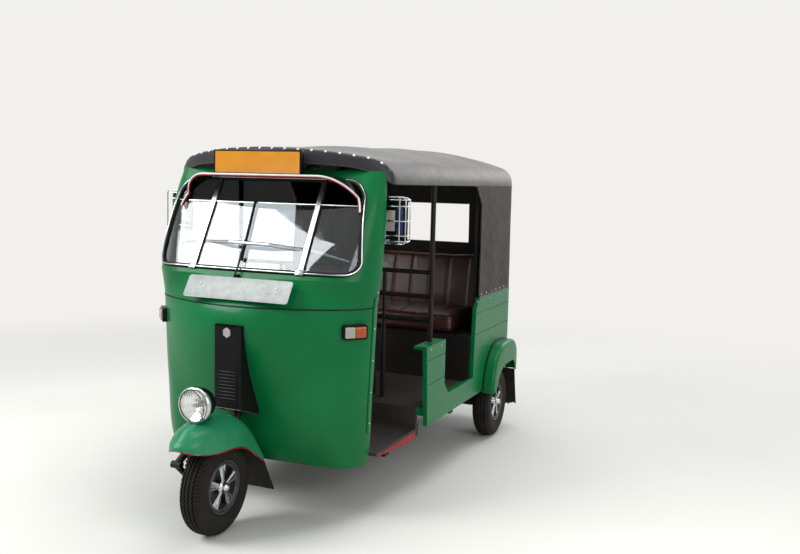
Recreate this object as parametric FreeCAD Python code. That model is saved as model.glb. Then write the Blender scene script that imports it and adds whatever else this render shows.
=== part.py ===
# Three-wheeled auto rickshaw: closed nose, open sides, soft roof and rear engine.
# Millimetres. +X is the vehicle's left side, -Y its front, +Z up, wheels on z = 0.
import FreeCAD, Part
import math
import os

V = FreeCAD.Vector

# Wheels and stance
WHEELBASE = 2000.0
FRONT_AXLE_Y = -1050.0
REAR_AXLE_Y = FRONT_AXLE_Y + WHEELBASE
REAR_TRACK = 1150.0
TYRE_R = 205.0
TYRE_W = 104.0
RIM_R = 106.0
RIM_W = 74.0
HUB_R = 34.0
AXLE_R = 12.0
STUB_END = 24.0
RUNNING_GAP = 0.05
CAP_R = 84.0
SPOKES = 5

# Sheet and wall thicknesses
WALL = 20.0
HOOD_T = 12.0
GUARD_T = 4.0
GLASS_T = 5.0
SEAT_GAP = 0.3

# Nose and windscreen plan sections: height, half width, bow, side radius, door edge y
NOSE_SECTIONS = (
    (250.0, 498.0, 142.0, 125.0, -620.0),
    (300.0, 508.0, 172.0, 150.0, -620.0),
    (480.0, 516.0, 230.0, 190.0, -620.0),
    (640.0, 522.0, 288.0, 205.0, -620.0),
    (770.0, 527.0, 320.0, 210.0, -620.0),
    (870.0, 531.0, 334.0, 212.0, -620.0),
    (955.0, 534.0, 316.0, 214.0, -620.0),
)
BAND_SECTIONS = (
    (955.0, 534.0, 311.0, 214.0, -620.0),
    (1075.0, 551.0, 240.0, 222.0, -620.0),
)
SCREEN_SECTIONS = (
    (1075.0, 551.0, 240.0, 222.0, -620.0),
    (1225.0, 552.0, 175.0, 160.0, -600.0),
    (1380.0, 545.0, 115.0, 103.0, -572.0),
    (1540.0, 526.0, 66.0, 56.0, -530.0),
)
SEAM_Z = 955.0
SCREEN_BASE_Z = 1075.0
SCREEN_TOP_Z = 1540.0
GLASS_LOW_Z = 1092.0
GLASS_TOP_Z = 1500.0
GLASS_HALF_LOW = 508.0
GLASS_HALF_TOP = 486.0
GLASS_CORNER_LOW = 55.0
GLASS_CORNER_TOP = 100.0
GLASS_DEPTH = 7.0
TRIM_W = 14.0
DIVIDER_X = 270.0
BEAD_Z = 1387.0

# Steering
STEER_RAKE = 25.0
STEER_GROUND_Y = -1110.0
STEM_R = 17.0
HEAD_TUBE_R = 30.0
HEAD_TUBE_Z = (600.0, 900.0)
BAR_Z = 985.0
BAR_HALF = 285.0
BAR_BACK = 60.0
BAR_R = 12.5
GRIP_R = 17.0
GRIP_LEN = 120.0
LINK_X = -112.0
LINK_PIVOT = (-1165.0, 312.0)
FORK_TUBE_R = 16.0
BOSS_R = 24.0
SHOCK_X = -146.0
SHOCK_TOP = (-985.0, 424.0)

# Lamp on the front mudguard
LAMP_Y = -1203.0
LAMP_Z = 583.0
LAMP_R = 76.0
LAMP_LENGTH = 113.0

# Front mudguard sections: y, half width, crown height, skirt height
GUARD_SECTIONS = (
    (-1318.0, 16.0, 440.0, 425.0),
    (-1296.0, 50.0, 462.0, 413.0),
    (-1245.0, 80.0, 492.0, 400.0),
    (-1165.0, 95.0, 512.0, 388.0),
    (-1060.0, 101.0, 516.0, 384.0),
    (-980.0, 102.0, 496.0, 366.0),
    (-915.0, 101.0, 452.0, 322.0),
    (-865.0, 100.0, 392.0, 288.0),
    (-828.0, 99.0, 318.0, 262.0),
)

# Black cover over the steering column on the nose
COVER_FRONT_Y = -972.0
COVER_Z = (518.0, 878.0)
COVER_FRONT_HALF = 65.0
COVER_BASE_HALF = (100.0, 80.0)
COVER_LOUVRES = 9

# Floor and chassis
FLOOR_Z = 300.0
FLOOR_T = 14.0
FLOOR_HALF = 540.0
REAR_FLOOR_Z = 405.0
STEP_Y = -150.0
BULKHEAD_Y = 520.0
RAIL_X = 210.0
RAIL_W = 50.0
RAIL_H = 70.0
TOW_EYE = (1272.0, 246.0)
TOW_EYE_R = 11.0
SILENCER_Y = 1192.0
SILENCER_Z = 160.0
SILENCER_R = 52.0
PLATE_Z = 385.0
PLATE_BOLT_X = 120.0
PLATE_HOLE_R = 3.5

# Body sides and tail
BODY_HALF = 600.0
SIDE_T = 22.0
FLANK_TOP_Z = 712.0
FLANK_END_Y = 80.0
SILL_TOP_Z = 425.0
SIDE_LOW_Z = 318.0
QUARTER_TOP_Z = 865.0
QUARTER_FRONT_Y = 560.0
TAIL_Y = 1283.0
TAIL_CORNER_R = 105.0
BUMPER_Z = 346.0
GROOVE = 3.0
ARCH_R = 285.0
ARCH_Y = 982.0
ARCH_Z = 306.0
ARCH_LOW_Z = 296.0
FLARE_X = 650.0
FLARE_T = 18.0
WHEEL_CUT_R = 232.0

# Soft roof
ROOF_EDGE_Z = 1486.0
ROOF_EDGE_HALF = 576.0
ROOF_FRONT_Y = -702.0
ROOF_CORNER_Y = -500.0
ROOF_REAR_Y = 1288.0
ROOF_SECTIONS = (
    (-720.0, 556.0, 1636.0),
    (-240.0, 576.0, 1664.0),
    (400.0, 584.0, 1686.0),
    (1050.0, 588.0, 1694.0),
    (1290.0, 588.0, 1690.0),
)
ROOF_SIDE_R = 118.0
CURTAIN_FRONT_Y = 640.0
HOOP_R = 12.5
HOOP_Y = (-20.0, 660.0, 1090.0)

# Seats
DRIVER_SEAT_Y = (-340.0, 10.0)
DRIVER_SEAT_HALF = 270.0
DRIVER_BOX_TOP = 610.0
SEAT_THICK = 95.0
RAIL_BAR_R = 11.0
PASSENGER_Y = (530.0, 1030.0)
PASSENGER_HALF = 480.0
PASSENGER_BOX_TOP = 655.0

# Engine and lid
ENGINE_BOX = (200.0, 700.0, 1160.0, 225.0, 560.0)
ARM_X = 420.0
ARM_PIVOT = (530.0, 262.0)
HUB_BACK = 30.0
SHAFT_Z = 335.0
LID_HALF = 380.0
LID_Z = (440.0, 800.0)
LID_GAP = 6.0
LID_T = 16.0
HINGE_Z = 822.0
HINGE_R = 5.0
HINGE_BARREL_R = 10.0


def box(x0, x1, y0, y1, z0, z1):
    """A box between two corners."""
    return Part.makeBox(x1 - x0, y1 - y0, z1 - z0, V(x0, y0, z0))


def rod(p, q, r):
    """A round bar from p to q."""
    p, q = V(*p), V(*q)
    return Part.makeCylinder(r, (q - p).Length, p, q - p)


def face_of(points):
    """A flat face with straight edges through points in space."""
    return Part.Face(Part.makePolygon([V(*p) for p in points] + [V(*points[0])]))


def prism_x(yz, x0, x1):
    """A side profile in y and z, run across the vehicle."""
    return face_of([(x0, y, z) for y, z in yz]).extrude(V(x1 - x0, 0, 0))


def prism_y(xz, y0, y1):
    """A front profile in x and z, run along the vehicle."""
    return face_of([(x, y0, z) for x, z in xz]).extrude(V(0, y1 - y0, 0))


def fused(shapes):
    """Several solids as one."""
    return shapes[0].multiFuse(shapes[1:]).removeSplitter() if len(shapes) > 1 else shapes[0]


def mirror_x(shape):
    """The same piece on the other side."""
    return shape.mirror(V(0, 0, 0), V(1, 0, 0))


def pair(shape):
    """A piece and its mirror image."""
    return [shape, mirror_x(shape)]


def bent_tube(points, r, bend):
    """A round tube along straight runs with round bends."""
    pts = [V(*p) for p in points]
    edges = []
    start = pts[0]
    for before, corner, after in zip(pts, pts[1:], pts[2:]):
        a, b = (before - corner).normalize(), (after - corner).normalize()
        turn = math.pi - a.getAngle(b)
        run = bend * math.tan(turn / 2)
        t0, t1 = corner + a * run, corner + b * run
        mid_dir = (a + b).normalize()
        mid = corner + mid_dir * (bend / math.cos(turn / 2) - bend)
        edges += [Part.makeLine(start, t0), Part.Arc(t0, mid, t1).toShape()]
        start = t1
    edges.append(Part.makeLine(start, pts[-1]))
    ring = Part.Wire(Part.makeCircle(r, pts[0], pts[1] - pts[0]))
    return Part.Wire(edges).makePipeShell([ring], True, True)


def bow_wire(z, half, bow, side_r, edge_y, inset=0.0, back=0.0):
    """One plan section of the nose: two side arcs, a front arc and a straight back."""
    a, b, r = half - inset, bow - inset, side_r - inset
    big = ((a - r) ** 2 + b ** 2 - r ** 2) / (2 * (b - r))
    centre = V(a - r, edge_y, z)
    away = (centre - V(0, edge_y - b + big, z)).normalize()
    touch = centre + away * r
    half_way = centre + (away + V(1, 0, 0)).normalize() * r
    left = [V(a, edge_y, z), half_way, touch]
    right = [V(-p.x, p.y, p.z) for p in left]
    edges = [
        Part.Arc(*left).toShape(),
        Part.Arc(touch, V(0, edge_y - b, z), right[2]).toShape(),
        Part.Arc(*reversed(right)).toShape(),
    ]
    ends = [right[0], left[0]]
    if back:
        ends = [right[0], right[0] + V(0, back, 0), left[0] + V(0, back, 0), left[0]]
    edges += [Part.makeLine(p, q) for p, q in zip(ends, ends[1:])]
    return Part.Wire(edges)


def bow_solid(sections, inset, back=0.0):
    """The volume inside the bowed skin, pulled in by inset."""
    wires = [bow_wire(*s, inset=inset, back=back) for s in sections]
    return Part.makeLoft(wires, True, len(sections) == 2)


def bow_shell(sections, outer, inner):
    """The bowed skin between two insets."""
    return bow_solid(sections, outer).cut(bow_solid(sections, inner, back=60.0))


def screen_layer(outer, inner):
    """A layer of the windscreen surround above the seam."""
    return bow_shell(SCREEN_SECTIONS, outer, inner)


def screen_outline(inset):
    """The front view of the windscreen opening, as a block through the skin."""
    low, top = GLASS_LOW_Z + inset, GLASS_TOP_Z - inset
    wide, narrow = GLASS_HALF_LOW - inset, GLASS_HALF_TOP - inset
    r0, r1 = GLASS_CORNER_LOW - inset / 2, GLASS_CORNER_TOP - inset / 2
    y = -1000.0
    c = math.cos(math.radians(45))
    left = [
        Part.Arc(V(wide - r0, y, low), V(wide - r0 + r0 * c, y, low + r0 - r0 * c),
                 V(wide, y, low + r0)).toShape(),
        Part.makeLine(V(wide, y, low + r0), V(narrow, y, top - r1)),
        Part.Arc(V(narrow, y, top - r1), V(narrow - r1 + r1 * c, y, top - r1 + r1 * c),
                 V(narrow - r1, y, top)).toShape(),
    ]
    right = [e.mirror(V(0, 0, 0), V(1, 0, 0)) for e in left]
    ends = [
        Part.makeLine(V(-wide + r0, y, low), V(wide - r0, y, low)),
        Part.makeLine(V(narrow - r1, y, top), V(-narrow + r1, y, top)),
    ]
    wire = Part.Wire(Part.__sortEdges__(left + right + ends))
    return Part.Face(wire).extrude(V(0, 480.0, 0))


def steer_point(z, x=0.0, ahead=0.0):
    """A point on the steering axis at height z, moved sideways or forward."""
    return (x, STEER_GROUND_Y + z * math.tan(math.radians(STEER_RAKE)) - ahead, z)


def nose_panel():
    """Front cowl below the seam, with its hole for the stem."""
    skin = bow_shell(NOSE_SECTIONS, 0.0, WALL)
    hole = rod(steer_point(430.0), steer_point(680.0), HEAD_TUBE_R + 14.0)
    return skin.cut(hole)


def screen_surround():
    """Band and pillars around the windscreen."""
    band = bow_shell(BAND_SECTIONS, 0.0, WALL)
    upper = screen_layer(0.0, WALL).cut(screen_outline(0.0))
    return fused([band, upper])


def windscreen():
    """Curved glass, set back in its opening."""
    return screen_layer(GLASS_DEPTH, GLASS_DEPTH + GLASS_T).common(screen_outline(SEAT_GAP))


def screen_trim():
    """Rubber and bright bead round the glass, with two upright dividers."""
    layer = screen_layer(-4.0, GLASS_DEPTH - SEAT_GAP)
    outline = screen_outline(SEAT_GAP)
    frame = layer.common(outline).cut(screen_outline(TRIM_W))
    bars = [box(x - 11.0, x + 11.0, -1000.0, -540.0, GLASS_LOW_Z, GLASS_TOP_Z)
            for x in (-DIVIDER_X, DIVIDER_X)]
    bars.append(box(-GLASS_HALF_LOW, GLASS_HALF_LOW, -1000.0, -540.0, BEAD_Z - 4.0, BEAD_Z + 4.0))
    inner = layer.common(screen_outline(TRIM_W - 1.0))
    return fused([frame] + [inner.common(b) for b in bars])


def visor():
    """Sun visor over the windscreen: an arched band that stands out from the skin."""
    half, drop, top, r = 478.0, 1362.0, 1512.0, 105.0
    c = math.cos(math.radians(45))

    def arch(d):
        left = [V(half - d, 0, drop), V(half - d, 0, top - d - (r - d))]
        bend = [V(half - r, 0, top - r) + V((r - d) * c, 0, (r - d) * c), V(half - r, 0, top - d)]
        return left, bend

    (o0, o1), (o2, o3) = arch(0.0)
    (i0, i1), (i2, i3) = arch(8.0)
    edges = [
        Part.makeLine(o0, o1), Part.Arc(o1, o2, o3).toShape(),
        Part.makeLine(i0, i1), Part.Arc(i1, i2, i3).toShape(),
        Part.makeLine(o0, i0),
    ]
    edges += [e.mirror(V(0, 0, 0), V(1, 0, 0)) for e in edges]
    edges += [Part.makeLine(o3, V(-o3.x, 0, o3.z)), Part.makeLine(i3, V(-i3.x, 0, i3.z))]
    wire = Part.Wire(Part.__sortEdges__(edges))
    band = Part.Face(wire).extrude(V(0, 330.0, 0))
    band.translate(V(0, -860.0, 0))
    lip_r = 1150.0
    lip = Part.makeCylinder(lip_r, 400.0, V(0, -752.0 + lip_r, 1300.0))
    return band.common(lip).cut(bow_solid(SCREEN_SECTIONS, -4.5)).Solids[0]


def sign_board():
    """Blank sign box on the visor's lip."""
    return box(-221.0, 221.0, -752.0, -722.0, 1512.0 + SEAT_GAP, 1620.0)


def front_plate():
    """Blank number plate on the band below the windscreen."""
    plate = box(-250.0, 250.0, -1.5, 1.5, -44.0, 44.0)
    plate.rotate(V(0, 0, 0), V(1, 0, 0), -32.0)
    plate.translate(V(0, -912.0, 1020.0))
    legs = [rod((x, -908.0, 1020.0), (x, -860.0, 1012.0), 6.0) for x in (-150.0, 150.0)]
    return fused([plate] + legs).cut(bow_solid(BAND_SECTIONS, 0.0))


def wiper():
    """Wiper arm and blade on its pivot below the glass."""
    pivot = (-20.0, -872.0, 1074.0)
    hub = rod((-20.0, -885.0, 1074.0), (-20.0, -850.0, 1074.0), 11.0)
    elbow = (-24.0, -850.0, 1150.0)
    arm = rod(pivot, elbow, 4.0)
    blade = rod(elbow, (-40.0, -712.0, 1395.0), 5.0)
    return fused([hub, arm, blade]).cut(bow_solid(BAND_SECTIONS, 0.0)).cut(
        bow_solid(SCREEN_SECTIONS, 0.0)).Solids[0]


def column_cover():
    """Moulded cover down the nose, with louvres on its face."""
    z0, z1 = COVER_Z
    sections = []
    for z, base_half, base_y in ((z0, COVER_BASE_HALF[0], -780.0), (z1, COVER_BASE_HALF[1], -880.0)):
        pts = [(COVER_FRONT_HALF, COVER_FRONT_Y), (base_half, base_y),
               (-base_half, base_y), (-COVER_FRONT_HALF, COVER_FRONT_Y)]
        sections.append(Part.makePolygon([V(x, y, z) for x, y in pts + pts[:1]]))
    block = Part.makeLoft(sections, True, True)
    front = [e for e in block.Edges if abs(e.CenterOfMass.y - COVER_FRONT_Y) < 1.0
             and abs(e.CenterOfMass.x) > COVER_FRONT_HALF - 2.0]
    block = block.makeFillet(14.0, front)
    cavity = rod(steer_point(430.0), steer_point(720.0), HEAD_TUBE_R + 14.0)
    block = block.cut(bow_solid(NOSE_SECTIONS, 0.0)).cut(cavity)
    for i in range(COVER_LOUVRES):
        z = 556.0 + i * 14.5
        block = block.cut(box(-46.0, 46.0, COVER_FRONT_Y - 1.0, COVER_FRONT_Y + 5.0, z, z + 6.0))
    return block


def front_indicators():
    """Turn lamps on the sides of the nose."""
    body = box(-56.0, 56.0, -22.0, 40.0, -32.0, 32.0)
    body = body.makeFillet(12.0, [e for e in body.Edges
                                  if abs(e.CenterOfMass.x) > 55.0 and abs(e.CenterOfMass.z) > 31.0])
    body.rotate(V(0, 0, 0), V(0, 0, 1), 48.0)
    body.translate(V(484.0, -746.0, 860.0))
    return pair(body.cut(bow_solid(NOSE_SECTIONS, 0.0)).Solids[0])


def mirrors():
    """Wire cages with their mirror plates on the windscreen pillars."""
    x0, x1, z0, z1, y0, y1 = 503.0, 622.0, 1215.0, 1440.0, -600.0, -545.0
    wires = []
    for x in (x0, x1):
        wires += [rod((x, y0, z0), (x, y0, z1), 3.5), rod((x, y0, z0), (x, y1, z0), 3.5),
                  rod((x, y0, z1), (x, y1, z1), 3.5)]
    for z in (z0, z0 + 32.0, z0 + 75.0, z0 + 118.0, z1 - 45.0, z1):
        wires.append(rod((x0, y0, z), (x1, y0, z), 3.5))
    plate = box(x0 + 6.0, x1 - 6.0, y1 - 8.0, y1, z0 - 4.0, z1 + 4.0)
    stay = rod((x0 + 8.0, y1 - 4.0, z0 + 20.0), (540.0, -560.0, z0 + 20.0), 6.0)
    spine = rod(((x0 + x1) / 2, y0, z0 + 75.0), ((x0 + x1) / 2, y1 - 4.0, z0 + 75.0), 5.0)
    cage = fused(wires + [plate, spine, stay])
    cage.translate(V(42.0, 0, 0))
    return pair(cage.cut(bow_solid(SCREEN_SECTIONS, 0.0)).Solids[0])


def dashboard():
    """Tray across the inside of the nose, notched for the head tube."""
    z0, z1 = 748.0, 800.0
    plan = bow_solid(NOSE_SECTIONS, WALL, back=0.0)
    tray = plan.common(box(-520.0, 520.0, -960.0, -740.0, z0, z1))
    hollow = bow_solid(NOSE_SECTIONS, WALL - 1.0).common(
        box(-520.0, 520.0, -960.0, -752.0, z0 + 12.0, z1 + 1.0))
    notch = rod(steer_point(650.0), steer_point(900.0), HEAD_TUBE_R + 4.0)
    return tray.cut(hollow).cut(notch)


def head_tube():
    """Fixed tube that carries the steering stem, with stays to the nose."""
    z0, z1 = HEAD_TUBE_Z
    tube = rod(steer_point(z0), steer_point(z1), HEAD_TUBE_R)
    stays = [rod(steer_point(z, 0.0, 6.0), (0.0, y, z), 20.0)
             for z, y in ((690.0, -905.0), (860.0, -940.0))]
    solid = fused([tube] + stays)
    bore = rod(steer_point(z0 - 40.0), steer_point(z1 + 40.0), STEM_R + RUNNING_GAP)
    return solid.cut(bore).common(bow_solid(NOSE_SECTIONS, WALL, back=400.0))


def roof_arcs(y, half, crown, inset):
    """The three arcs over the cab at y, and their four end and touch points."""
    a, r = half - inset, ROOF_SIDE_R - inset
    b = crown - inset - ROOF_EDGE_Z
    big = ((a - r) ** 2 + b ** 2 - r ** 2) / (2 * (b - r))
    centre = V(a - r, y, ROOF_EDGE_Z)
    away = (centre - V(0, y, ROOF_EDGE_Z + b - big)).normalize()
    touch = centre + away * r
    half_way = centre + (away + V(1, 0, 0)).normalize() * r
    left = [V(a, y, ROOF_EDGE_Z), half_way, touch]
    right = [V(-p.x, p.y, p.z) for p in left]
    arcs = [Part.Arc(*left).toShape(),
            Part.Arc(touch, V(0, y, crown - inset), right[2]).toShape(),
            Part.Arc(*reversed(right)).toShape()]
    return arcs, left[0], right[0]


def roof_wire(y, half, crown, inset, foot):
    """One cross section of the soft roof: straight sides and a three-arc crown."""
    arcs, left, right = roof_arcs(y, half, crown, inset)
    low = V(BODY_HALF - inset, y, foot)
    low_right = V(-low.x, low.y, low.z)
    sides = [Part.makeLine(right, low_right), Part.makeLine(low_right, low)]
    return Part.Wire([Part.makeLine(low, left)] + arcs + sides)


def roof_size(y):
    """Half width and crown height of the roof at y."""
    for (y0, half0, crown0), (y1, half1, crown1) in zip(ROOF_SECTIONS, ROOF_SECTIONS[1:]):
        if y0 <= y <= y1:
            t = (y - y0) / (y1 - y0)
            return half0 + t * (half1 - half0), crown0 + t * (crown1 - crown0)
    return ROOF_SECTIONS[-1][1:]


def roof_solid(inset):
    """The volume under the soft roof, pulled in by inset."""
    foot = QUARTER_TOP_Z - inset
    wires = [roof_wire(y, half, crown, inset, foot) for y, half, crown in ROOF_SECTIONS]
    loaf = Part.makeLoft(wires, True, False)
    front, corner = ROOF_FRONT_Y + inset, ROOF_CORNER_Y + inset
    rear, r, wide = ROOF_REAR_Y - inset, TAIL_CORNER_R - inset, BODY_HALF + 5.0 - inset
    c = math.cos(math.radians(45))
    z = QUARTER_TOP_Z - 40.0
    plan = [
        Part.Arc(V(wide, corner, z), V(0, front, z), V(-wide, corner, z)).toShape(),
        Part.makeLine(V(-wide, corner, z), V(-wide, rear - r, z)),
        Part.Arc(V(-wide, rear - r, z), V(-wide + r - r * c, rear - r + r * c, z),
                 V(-wide + r, rear, z)).toShape(),
        Part.makeLine(V(-wide + r, rear, z), V(wide - r, rear, z)),
        Part.Arc(V(wide - r, rear, z), V(wide - r + r * c, rear - r + r * c, z),
                 V(wide, rear - r, z)).toShape(),
        Part.makeLine(V(wide, rear - r, z), V(wide, corner, z)),
    ]
    plan_block = Part.Face(Part.Wire(plan)).extrude(V(0, 0, 1000.0))
    top_r, x = 170.0 - inset, -700.0
    top, top_y = 1700.0 - inset, rear
    side = [
        Part.makeLine(V(x, -800.0, 800.0), V(x, top_y + 8.0, 800.0)),
        Part.makeLine(V(x, top_y + 8.0, 800.0), V(x, top_y - 14.0, top - top_r)),
        Part.Arc(V(x, top_y - 14.0, top - top_r),
                 V(x, top_y - 14.0 - top_r + top_r * c, top - top_r + top_r * c),
                 V(x, top_y - 14.0 - top_r, top)).toShape(),
        Part.makeLine(V(x, top_y - 14.0 - top_r, top), V(x, -800.0, top)),
        Part.makeLine(V(x, -800.0, top), V(x, -800.0, 800.0)),
    ]
    side_block = Part.Face(Part.Wire(side)).extrude(V(1400.0, 0, 0))
    return loaf.common(plan_block).common(side_block)


def hood():
    """Soft roof, front valance, rear curtain and the two rear side curtains."""
    shell = roof_solid(0.0).cut(roof_solid(HOOD_T))
    side_opening = prism_x([(-900.0, 800.0), (CURTAIN_FRONT_Y - 40.0, 800.0),
                            (CURTAIN_FRONT_Y, 1380.0), (CURTAIN_FRONT_Y - 90.0, ROOF_EDGE_Z),
                            (-900.0, ROOF_EDGE_Z)], -700.0, 700.0)
    front_flap = box(-545.0, 545.0, -900.0, -470.0, 1400.0, SCREEN_TOP_Z)
    window = box(-300.0, 300.0, ROOF_REAR_Y - 150.0, ROOF_REAR_Y + 50.0, 1120.0, 1370.0)
    window = window.makeFillet(40.0, [e for e in window.Edges
                                      if abs(e.CenterOfMass.x) > 299.0 and
                                      abs(e.CenterOfMass.z - 1245.0) > 120.0])
    return shell.cut(side_opening).cut(front_flap).cut(window)


def hoop(y, foot_z):
    """One roof bow: two posts and a bent top, just under the cloth."""
    half, crown = roof_size(y)
    arcs, left, right = roof_arcs(y, half, crown, HOOD_T + HOOP_R + 2.5)
    foot = V(left.x, y, foot_z)
    path = [Part.makeLine(foot, left)] + arcs + [Part.makeLine(right, V(-foot.x, y, foot_z))]
    ring = Part.Wire(Part.makeCircle(HOOP_R, foot, V(0, 0, 1)))
    return Part.Wire(path).makePipeShell([ring], True, True)


def hood_frame():
    """Posts, bows and side rails that carry the soft roof."""
    feet = (FLANK_TOP_Z, PASSENGER_BOX_TOP, PASSENGER_BOX_TOP)
    rail_z = ROOF_EDGE_Z + HOOP_R
    ends = [(roof_size(y)[0] - HOOD_T - HOOP_R - 2.5, y, rail_z) for y in (-520.0,) + HOOP_Y]
    rails = [rod((s * p[0],) + p[1:], (s * q[0],) + q[1:], HOOP_R - 2.5)
             for s in (-1, 1) for p, q in zip(ends, ends[1:])]
    return fused([hoop(y, z) for y, z in zip(HOOP_Y, feet)] + rails)


def floor_pan():
    """Stepped floor for the driver and the passengers."""
    t = FLOOR_T
    profile = [(-700.0, FLOOR_Z), (STEP_Y, FLOOR_Z), (STEP_Y, REAR_FLOOR_Z),
               (BULKHEAD_Y, REAR_FLOOR_Z), (BULKHEAD_Y, REAR_FLOOR_Z - t),
               (STEP_Y + t, REAR_FLOOR_Z - t), (STEP_Y + t, FLOOR_Z - t), (-700.0, FLOOR_Z - t)]
    front = prism_x(profile, -FLOOR_HALF, FLOOR_HALF)
    ahead = bow_solid(NOSE_SECTIONS, WALL + SEAT_GAP, back=30.0)
    lead = ahead.common(box(-600.0, 600.0, -780.0, -600.0, FLOOR_Z - t, FLOOR_Z))
    middle = front.cut(box(-700.0, 700.0, -720.0, -610.0, 200.0, 400.0))
    return fused([lead, middle])


def chassis_frame():
    """Two long rails, cross members and the rear arm brackets."""
    z1 = FLOOR_Z - FLOOR_T
    z0 = z1 - RAIL_H
    rails = [box(s * RAIL_X - RAIL_W / 2, s * RAIL_X + RAIL_W / 2, -640.0, 1200.0, z0, z1)
             for s in (-1, 1)]
    crosses = [box(-500.0, 500.0, y - 25.0, y + 25.0, z0 + 12.0, z1)
               for y in (-400.0, -40.0, 480.0)]
    tail = box(-300.0, 300.0, 1180.0, 1230.0, z0 + 12.0, z1)
    uprights = [box(s * RAIL_X - 22.0, s * RAIL_X + 22.0, y - 22.0, y + 22.0, z1, REAR_FLOOR_Z - FLOOR_T)
                for s in (-1, 1) for y in (180.0, 480.0)]
    lug = box(-30.0, 30.0, 1225.0, TOW_EYE[0] + 28.0, TOW_EYE[1] - 6.0, TOW_EYE[1] + 6.0)
    eye = rod((0.0, TOW_EYE[0], TOW_EYE[1] - 20.0), (0.0, TOW_EYE[0], TOW_EYE[1] + 20.0), TOW_EYE_R)
    return fused(rails + crosses + [tail, lug] + uprights).cut(eye)


def sill_strips():
    """Side aprons below the driver's floor, with a coloured edge strip."""
    profile = [(-600.0, FLOOR_Z - FLOOR_T), (STEP_Y - 0.3, FLOOR_Z - FLOOR_T),
               (STEP_Y - 0.3, 246.0), (-600.0, 282.0)]
    return pair(prism_x(profile, FLOOR_HALF - 8.0, FLOOR_HALF))


def side_panels():
    """Body sides between the two doorways and below the rear one."""
    profile = [(STEP_Y, SIDE_LOW_Z), (BULKHEAD_Y + 20.0, SIDE_LOW_Z), (BULKHEAD_Y + 20.0, SILL_TOP_Z),
               (FLANK_END_Y + 60.0, SILL_TOP_Z), (FLANK_END_Y, SILL_TOP_Z + 60.0),
               (FLANK_END_Y, FLANK_TOP_Z), (STEP_Y - 30.0, FLANK_TOP_Z)]
    skin = prism_x(profile, BODY_HALF - SIDE_T, BODY_HALF)
    for z in (520.0, 640.0):
        skin = skin.cut(box(BODY_HALF - 3.0, BODY_HALF + 1.0, STEP_Y - 80.0, FLANK_END_Y + 1.0, z, z + 6.0))
    ledge = box(FLOOR_HALF - 8.0, BODY_HALF - SIDE_T, STEP_Y - 30.0, FLANK_END_Y,
                FLANK_TOP_Z - 14.0, FLANK_TOP_Z)
    tie = box(FLOOR_HALF, BODY_HALF - SIDE_T, STEP_Y + 4.0, BULKHEAD_Y, REAR_FLOOR_Z - 40.0,
              REAR_FLOOR_Z)
    return pair(fused([skin, ledge, tie]))


def arch_block(radius, x0, x1, low):
    """The wheel arch seen from the side: a half circle on straight legs."""
    disc = Part.makeCylinder(radius, x1 - x0, V(x0, ARCH_Y, ARCH_Z), V(1, 0, 0))
    top = disc.common(box(x0, x1, ARCH_Y - radius, ARCH_Y + radius, ARCH_Z, ARCH_Z + radius))
    legs = box(x0, x1, ARCH_Y - radius, ARCH_Y + radius, low, ARCH_Z)
    return fused([top, legs])


def rear_body():
    """Rear quarters and tail panel in one shell, with wheel arches and the lid's opening."""
    front, rear, wide, r = BULKHEAD_Y + 20.0, TAIL_Y, BODY_HALF, TAIL_CORNER_R

    def tub(inset):
        block = box(-wide + inset, wide - inset, front - (1.0 if inset else 0.0), rear - inset,
                    SIDE_LOW_Z - (1.0 if inset else 0.0), QUARTER_TOP_Z + (1.0 if inset else 0.0))
        corners = [e for e in block.Edges if abs(e.CenterOfMass.y - rear + inset) < 1.0
                   and abs(abs(e.CenterOfMass.x) - wide + inset) < 1.0]
        return block.makeFillet(r - inset, corners)

    shell = tub(0.0).cut(tub(SIDE_T))
    rise = prism_x([(front - 5.0, SILL_TOP_Z), (front - 5.0, QUARTER_TOP_Z + 5.0),
                    (QUARTER_FRONT_Y + 60.0, QUARTER_TOP_Z + 5.0), (QUARTER_FRONT_Y, QUARTER_TOP_Z - 60.0)],
                   -700.0, 700.0)
    shell = shell.cut(rise)
    for s in (-1, 1):
        shell = shell.cut(arch_block(ARCH_R - FLARE_T, s * 600.0 - 100.0, s * 600.0 + 100.0, 200.0))
        for z in (662.0, 778.0):
            shell = shell.cut(box(s * wide - GROOVE, s * wide + GROOVE, front - 5.0, rear - r,
                                  z, z + 2 * GROOVE))
    lid = box(-LID_HALF - LID_GAP, LID_HALF + LID_GAP, rear - 40.0, rear + 10.0,
              LID_Z[0] - LID_GAP, LID_Z[1] + LID_GAP)
    shell = shell.cut(lid)
    pins = []
    for x in (-250.0, 250.0):
        pins.append(rod((x - 40.0, hinge_y(), HINGE_Z), (x + 40.0, hinge_y(), HINGE_Z), HINGE_R))
        for e in (-36.0, 30.0):
            pins.append(box(x + e, x + e + 6.0, rear - 4.0, hinge_y() + 8.0, HINGE_Z - 8.0, HINGE_Z + 8.0))
    return fused([shell] + pins).cut(plate_holes())


def hinge_y():
    """The lid's hinge line, just behind the tail panel."""
    return TAIL_Y + HINGE_BARREL_R + 3.0


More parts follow.
